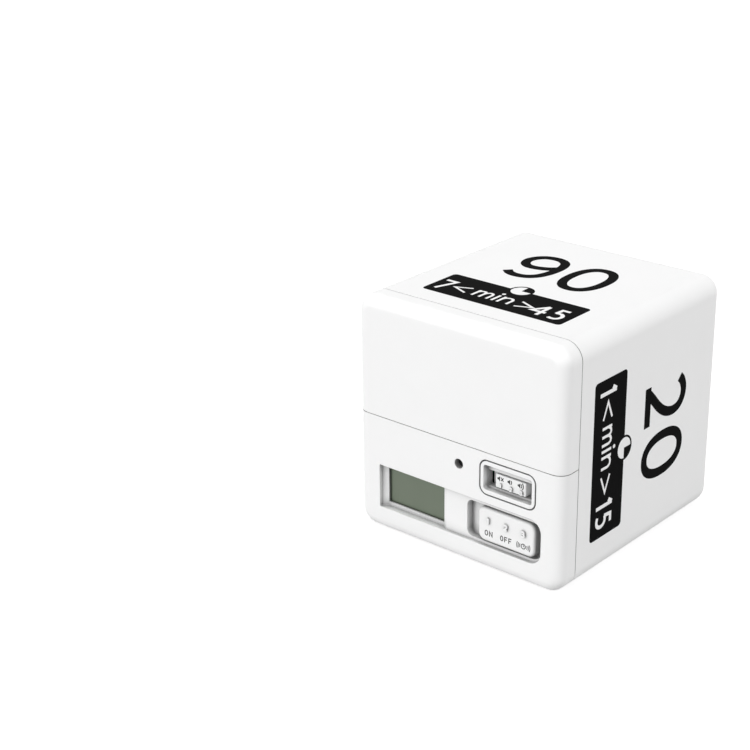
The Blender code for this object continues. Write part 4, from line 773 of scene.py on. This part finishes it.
def wire(name, path, radius):
    """Round wire along a path, closed at both ends."""
    data = bpy.data.curves.new(name, "CURVE")
    data.dimensions = "3D"
    data.bevel_depth, data.bevel_resolution, data.use_fill_caps = radius * MM, WIRE_STEPS, True
    spline = data.splines.new("POLY")
    spline.points.add(len(path) - 1)
    for point, spot in zip(spline.points, path):
        point.co = (*(Vector(spot) * MM), 1)
    return add(name, data)


def spring(name, z, side):
    """Tapering coil between a contact plate and a cell's flat end."""
    path = []
    last = SPRING_STEPS * SPRING_TURNS
    for i in range(last + 1):
        share, angle = i / last, math.tau * i / SPRING_STEPS
        radius = SPRING_RADII[0] + (SPRING_RADII[1] - SPRING_RADII[0]) * share
        x = -side * (SPRING_START - SPRING_LENGTH * share)
        path.append((x, CELL_Y + radius * math.cos(angle), z + radius * math.sin(angle)))
    return wire(name, path, SPRING_WIRE)


# Materials

# Noise values that spread over the whole range, and how far gloss strays from its mean
PATCH_RANGE, GRAIN_RANGE, GLOSS_RANGE = (0.3, 0.7), (0.25, 0.75), (0.9, 1.1)
# Shade painted into hollows: how far they are felt in mm, openness where they are closed and open, and the share of
# tone left
WHITE_HOLLOW_SHADE = (2.7, 0.42, 0.97, 0.37)
RING_HOLLOW_SHADE = (2.7, 0.45, 0.97, 0.37)
KNOB_HOLLOW_SHADE = (1.3, 0.4, 0.97, 0.62)
DISPLAY_HOLLOW_SHADE = (1.2, 0.5, 0.8, 0.45)
HOLLOW_SHADE_SAMPLES = 16
# Heights over which the shade painted into hollows fades in above the floor, whose nearness gives none, the two
# cells part and, along a cell, its band begins
SHADE_FADE_HEIGHTS, BETWEEN_CELLS, BAND_START = (3.5, 5.0), (44.3, 44.4), (13.9, 14.0)
TRACK_LENGTH, TRACK_PITCH, TRACK_WIDTH, TRACK_BLUR = 3.1, 0.9, 0.12, 0.1
TRACK_GREEN, STRIPE_GREY, BAND_GREY = (0.05, 0.27, 0.11), (0.35, 0.34, 0.33), (0.46, 0.46, 0.45)
STRIPE_SIZE = 2.0


def material(name):
    """A new material with its tree and its shader."""
    made = bpy.data.materials.new(name)
    made.use_nodes = True
    return made, made.node_tree, made.node_tree.nodes["Principled BSDF"]


def fill(tree, made, inputs):
    """Sets a node's inputs, or links those that are given another node's output."""
    for name, value in inputs.items():
        if isinstance(value, bpy.types.NodeSocket):
            tree.links.new(value, made.inputs[name])
        else:
            made.inputs[name].default_value = value


def node(tree, kind, output, inputs=None, **settings):
    """Adds a node with its settings and inputs, and gives one of its outputs."""
    made = tree.nodes.new(kind)
    for name, value in settings.items():
        setattr(made, name, value)
    fill(tree, made, inputs or {})
    return made.outputs[output]


def places_in_mm(tree, size, stretch=(1, 1, 1)):
    """Object coordinates in steps of size millimetres, drawn out along the axes by stretch."""
    where = node(tree, "ShaderNodeTexCoord", "Object")
    scale = [1 / (size * MM * s) for s in stretch]
    return node(tree, "ShaderNodeMapping", "Vector", {"Vector": where, "Scale": scale})


def axes(tree):
    """Object coordinates in millimetres, one by one."""
    split = tree.nodes.new("ShaderNodeSeparateXYZ")
    fill(tree, split, {"Vector": places_in_mm(tree, 1.0)})
    return split.outputs


def noise(tree, size, detail=3.0, stretch=(1, 1, 1)):
    """Noise whose features are about size millimetres large."""
    return node(tree, "ShaderNodeTexNoise", "Fac",
                {"Vector": places_in_mm(tree, size, stretch), "Scale": 1.0, "Detail": detail})


def between(tree, fac, low, high, low_value, high_value):
    """Maps a factor to a range of values."""
    return node(tree, "ShaderNodeMapRange", "Result",
                {"Value": fac, "From Min": low, "From Max": high, "To Min": low_value, "To Max": high_value})


def patches(tree, size):
    """Slow changes from 0 to 1 along a surface."""
    return between(tree, noise(tree, size), *PATCH_RANGE, 0, 1)


def worked_out(tree, operation, first, second):
    """What an operation makes of two values."""
    return node(tree, "ShaderNodeMath", "Value", {0: first, 1: second}, operation=operation)


def two_colours(tree, fac, first, second):
    """Mixes two tones, each a colour or a socket."""
    tones = [(*tone, 1) if isinstance(tone, tuple) else tone for tone in (first, second)]
    return node(tree, "ShaderNodeMix", "Result", {"Factor": fac, "A": tones[0], "B": tones[1]}, data_type="RGBA")


def plain(name, colour, roughness, grain=0.1, depth=0.002, shade=0.05, metallic=0.0, specular=0.5, coat=0.0,
          stretch=(1, 1, 1), patch=9.0, pattern=None, hollow=None):
    """Moulded, plated or painted surface: slow shade changes, uneven gloss, fine grain and shade painted into
    hollows.
    """
    made, tree, shader = material(name)
    tone = two_colours(tree, patches(tree, patch), tuple(c * (1 - shade) for c in colour), colour)
    if pattern:
        tone = pattern(tree, tone)
    # Shade painted into hollows, where a hollow setting is given
    if hollow:
        tone = paint_hollow_shade(tree, tone, *hollow)
    fine = noise(tree, grain, 2.0, stretch)
    gloss = between(tree, fine, *GRAIN_RANGE, *(roughness * share for share in GLOSS_RANGE))
    bump = node(tree, "ShaderNodeBump", "Normal", {"Strength": 1.0, "Distance": depth * MM, "Height": fine})
    fill(tree, shader, {"Base Color": tone, "Roughness": gloss, "Normal": bump, "Metallic": metallic,
                        "Specular IOR Level": specular, "Coat Weight": coat})
    return made


def paint_hollow_shade(tree, tone, reach, closed, opened, share):
    """Painted shade: a darker tone in grooves, holes and inner corners, down to a share of it where they are closed,
    and none low by the floor.
    """
    near = node(tree, "ShaderNodeAmbientOcclusion", "AO", {"Distance": reach * MM}, samples=HOLLOW_SHADE_SAMPLES)
    level = between(tree, near, closed, opened, share, 1)
    low = between(tree, axes(tree)["Z"], *SHADE_FADE_HEIGHTS, 1, 0)
    return two_colours(tree, worked_out(tree, "MAXIMUM", level, low), (0.0, 0.0, 0.0), tone)


def tracks(tree, tone):
    """Copper tracks seen as a lighter green through the board's solder resist."""
    turned_up = node(tree, "ShaderNodeMapping", "Vector",
                     {"Vector": places_in_mm(tree, 1.0), "Rotation": (QUARTER, 0, 0)})
    lines = node(tree, "ShaderNodeTexBrick", "Fac",
                 {"Vector": turned_up, "Scale": 1.0, "Mortar Size": TRACK_WIDTH, "Mortar Smooth": TRACK_BLUR,
                  "Brick Width": TRACK_LENGTH, "Row Height": TRACK_PITCH})
    return two_colours(tree, lines, tone, TRACK_GREEN)


def stripes(tree, tone):
    """Conducting layers across the connector strip."""
    waves = node(tree, "ShaderNodeTexWave", "Fac", {"Vector": places_in_mm(tree, STRIPE_SIZE), "Scale": 1.0})
    return two_colours(tree, waves, tone, STRIPE_GREY)


def plus_band(tree, tone):
    """Light band round each cell towards its nub, which is on the right above and on the left below."""
    where = axes(tree)
    upper = between(tree, where["Z"], *BETWEEN_CELLS, -1, 1)
    along = worked_out(tree, "MULTIPLY", where["X"], upper)
    return two_colours(tree, between(tree, along, *BAND_START, 0, 1), tone, BAND_GREY)


def white(name, level, roughness, hollow):
    """Moulded white plastic of the outside, with shade painted into its hollows."""
    return plain(name, (level,) * 3, roughness, grain=0.12, depth=0.0012, shade=0.012, specular=0.4,
                 hollow=hollow)


def black_ink(name, level):
    """Matt printing ink."""
    return plain(name, (level,) * 3, 0.5, grain=0.08, depth=0.0008, shade=0.2, specular=0.005)


FINISHES = {
    "white_case": white("White case", 0.86, 0.48, WHITE_HOLLOW_SHADE),
    "white_slider": white("White sliders", 0.85, 0.5, WHITE_HOLLOW_SHADE),
    "inner_plastic": plain("Inner plastic", (0.72, 0.72, 0.70), 0.5, grain=0.2),
    "connector_rubber": plain("Connector rubber", (0.10, 0.10, 0.11), 0.7, pattern=stripes),
    "board": plain("Board", (0.02, 0.16, 0.06), 0.35, grain=0.15, depth=0.001, pattern=tracks),
    "tinned_steel": plain("Tinned steel", (0.62, 0.62, 0.63), 0.34, depth=0.001, metallic=1.0, stretch=(12, 1, 1)),
    "bright_steel": plain("Bright steel", (0.75, 0.73, 0.68), 0.24, depth=0.0006, metallic=1.0, stretch=(1, 8, 1)),
    "screw_steel": plain("Screw steel", (0.55, 0.55, 0.56), 0.32, grain=0.12, depth=0.001, metallic=1.0),
    "black_plastic": plain("Black plastic", (0.014,) * 3, 0.45, shade=0.2),
    "sensor_plastic": plain("Sensor plastic", (0.75, 0.72, 0.62), 0.5, grain=0.25),
    "capacitor_sleeve": plain("Capacitor sleeve", (0.05, 0.08, 0.20), 0.3, grain=0.3),
    "cell_sleeve": plain("Cell sleeve", (0.10, 0.10, 0.11), 0.28, grain=0.3, depth=0.001, pattern=plus_band),
    "black_insulation": plain("Black insulation", (0.02,) * 3, 0.45),
    "red_insulation": plain("Red insulation", (0.50, 0.02, 0.02), 0.45),
    # The display's tone gets shade painted at its edges, under the window's walls
    "display": plain("Display", (0.14, 0.168, 0.124), 0.35, grain=0.15, depth=0.0004, shade=0.04, specular=0.3,
                     hollow=DISPLAY_HOLLOW_SHADE),
}
# Copies of the case's white with their own shade painted into hollows, the knob's a little rougher
ring_white = white("White ring", 0.86, 0.48, RING_HOLLOW_SHADE)
knob_white = white("White knob", 0.86, 0.5, KNOB_HOLLOW_SHADE)
ink = black_ink("Black ink", 0.006)
mark_ink = black_ink("Mark ink", 0.07)
glass = plain("Display glass", (0.10, 0.13, 0.10), 0.12, grain=0.4, depth=0.0002, coat=0.3)

replaced = set()


def dress(obj, body_name, slot, *nodes, finish=None):
    """Gives a piece its finish, which is the slot's unless another is given, its body, and hides the nodes that it
    stands for.
    """
    obj.data.materials.clear()
    obj.data.materials.append(finish or FINISHES[slot])
    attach(obj, body_name)
    if nodes:
        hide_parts(*nodes)
        replaced.update(nodes)


def rounded_look():
    """Modifier group that shades a solid smooth wherever it bends less than the sharp angle."""
    group = bpy.data.node_groups.new("Rounded look", "GeometryNodeTree")
    for way in ("INPUT", "OUTPUT"):
        group.interface.new_socket("Geometry", in_out=way, socket_type="NodeSocketGeometry")
    start = node(group, "NodeGroupInput", 0)
    faces = node(group, "GeometryNodeSetShadeSmooth", 0, {"Geometry": start}, domain="FACE")
    bend = node(group, "GeometryNodeInputMeshEdgeAngle", "Unsigned Angle")
    over = node(group, "FunctionNodeCompare", "Result", {"A": bend, "B": SHARP}, operation="GREATER_THAN")
    edges = node(group, "GeometryNodeSetShadeSmooth", 0,
                 {"Geometry": faces, "Selection": over, "Shade Smooth": False}, domain="EDGE")
    fill(group, group.nodes.new("NodeGroupOutput"), {0: edges})
    return group


dress(smooth(body()), "body", "white_case", "body_shell")
dress(smooth(control_panel()), "body", "white_case", "control_panel")
dress(smooth(battery_door()), "door", "white_case", "battery_door")
dress(smooth(volume_ring()), "body", "white_case", "volume_bezel", finish=ring_white)
dress(smooth(sound_shade_gauze()), "body", "black_plastic")
dress(smooth(volume_slider()), "volume_slider", "white_slider", "volume_knob", finish=knob_white)
dress(smooth(mode_plate()), "mode_plate", "white_slider", "mode_slider")
for side in SIDES:
    dress(side_print(*side), "body", "black_plastic", finish=ink)
dress(knob_signs(), "volume_slider", "black_plastic", finish=mark_ink)
dress(numbers("volume_numbers", RING_X + KNOB_NUMBER_X, KNOB_SPACING, KNOB_Z + KNOB_NUMBER_Z, KNOB_NUMBER,
              KNOB_NUMBER_STROKE, KNOB_FRONT, KNOB_NUMBER_HEIGHT), "volume_slider", "white_slider")
dress(mode_words(), "mode_plate", "black_plastic", finish=mark_ink)
dress(numbers("mode_numbers", MODE_X, MODE_SPACING, MODE_Z + MODE_NUMBER_Z, MODE_NUMBER, MODE_NUMBER_STROKE,
              MODE_FRONT, MODE_NUMBER_HEIGHT), "mode_plate", "white_slider")
for *layer, is_glass in DISPLAY_LAYERS:
    dress(smooth(display_layer(*layer)), "body", "display", "lcd_panel", finish=glass if is_glass else None)
for name, z, side in CELLS:
    dress(cell_sleeve(name, z, side), "body", "cell_sleeve", name)
    dress(cell_can(name, z, side), "body", "bright_steel", name)
    spring_name = name.replace("battery", "contact_spring")
    dress(spring(f"{spring_name}_coil", z, side), "body", "bright_steel", spring_name)
for name, slot, points in LEADS:
    dress(wire(f"{name}_wire", smooth_path(points, LEAD_STEPS), LEAD_RADIUS), "body", slot, name)

shading = rounded_look()
for row in frame["record"]["subparts"]:
    if row["node"] not in replaced:
        solid = frame["nodes"][row["node"]]
        solid.material_slots[0].material = FINISHES[row["material_slot"]]
        solid.modifiers.new("Rounded look", "NODES").node_group = shading


# Floor, light and camera
FLOOR_WIDTH, FLOOR_THICKNESS, FLOOR_CORNER = 8000, 20, 50
FLOOR_GREYS, FLOOR_PATCH = ((0.39,) * 3, (0.40,) * 3), 60.0
FLOOR_GLOW = 0.76
AMBIENT = 0.5
# Name, direction it comes from, level and width in degrees
LIGHTS = (
    ("Key", (-0.39, -0.9, 0.24), 0.617, 36),
    ("Right", (0.85, 0.0, 0.53), 0.388, 40),
    ("Above", (0.0, 0.0, 1.0), 0.245, 40),
)


def floor():
    """Wide slab whose top is level with the cube's underside."""
    corners = outline(across(0, FLOOR_WIDTH), across(0, FLOOR_WIDTH), (FLOOR_CORNER,) * 4)
    return place("floor", skin([[(x, y, z) for x, y in corners] for z in (-FLOOR_THICKNESS, 0)]))


def seen_directly(tree):
    """1 for rays of the camera, of reflections and of light that passes through."""
    rays = tree.nodes.new("ShaderNodeLightPath").outputs
    total = rays["Is Camera Ray"]
    for name in ("Is Glossy Ray", "Is Transmission Ray"):
        total = worked_out(tree, "MAXIMUM", total, rays[name])
    return total


def floor_material():
    """Pale floor, seen as white, on which the cube's shadow stays."""
    made, tree, shader = material("Floor")
    tone = two_colours(tree, patches(tree, FLOOR_PATCH), *FLOOR_GREYS)
    fill(tree, shader, {"Base Color": tone, "Roughness": 0.8, "Specular IOR Level": 0.05})
    level = between(tree, seen_directly(tree), 0, 1, 0, FLOOR_GLOW)
    glow = node(tree, "ShaderNodeEmission", "Emission", {"Strength": level})
    both = node(tree, "ShaderNodeAddShader", "Shader", {0: shader.outputs["BSDF"], 1: glow})
    fill(tree, tree.nodes["Material Output"], {"Surface": both})
    return made


def studio():
    """Even white surroundings, seen at full white and lighting at less."""
    made = bpy.data.worlds.new("Studio")
    bpy.context.scene.world = made
    made.use_nodes = True
    tree = made.node_tree
    level = between(tree, seen_directly(tree), 0, 1, AMBIENT, 1.0)
    fill(tree, tree.nodes["Background"], {"Color": (1, 1, 1, 1), "Strength": level})


def soft_light(name, towards, strength, width):
    """Broad distant light from a direction, whose strength is the level that it adds to a face square to it."""
    data = bpy.data.lights.new(name, "SUN")
    data.energy = strength * math.pi
    data.angle = math.radians(width)
    add(name, data).rotation_euler = Vector(towards).to_track_quat("Z", "Y").to_euler()


ground = floor()
ground.data.materials.append(floor_material())
studio()
for light in LIGHTS:
    soft_light(*light)

# The camera's place, turn and lens were fitted to the cube's edges in the photo
camera = add("Camera", bpy.data.cameras.new("Camera"))
camera.location = (0.217773150, -0.306551493, 0.192202882)
camera.rotation_euler = (1.177716124, 0.013019661, 0.717284896)
camera.data.sensor_width = 36
camera.data.lens = 80.74735
camera.data.clip_start = 0.01
bpy.context.scene.camera = camera
bpy.context.scene.view_settings.view_transform = "Standard"
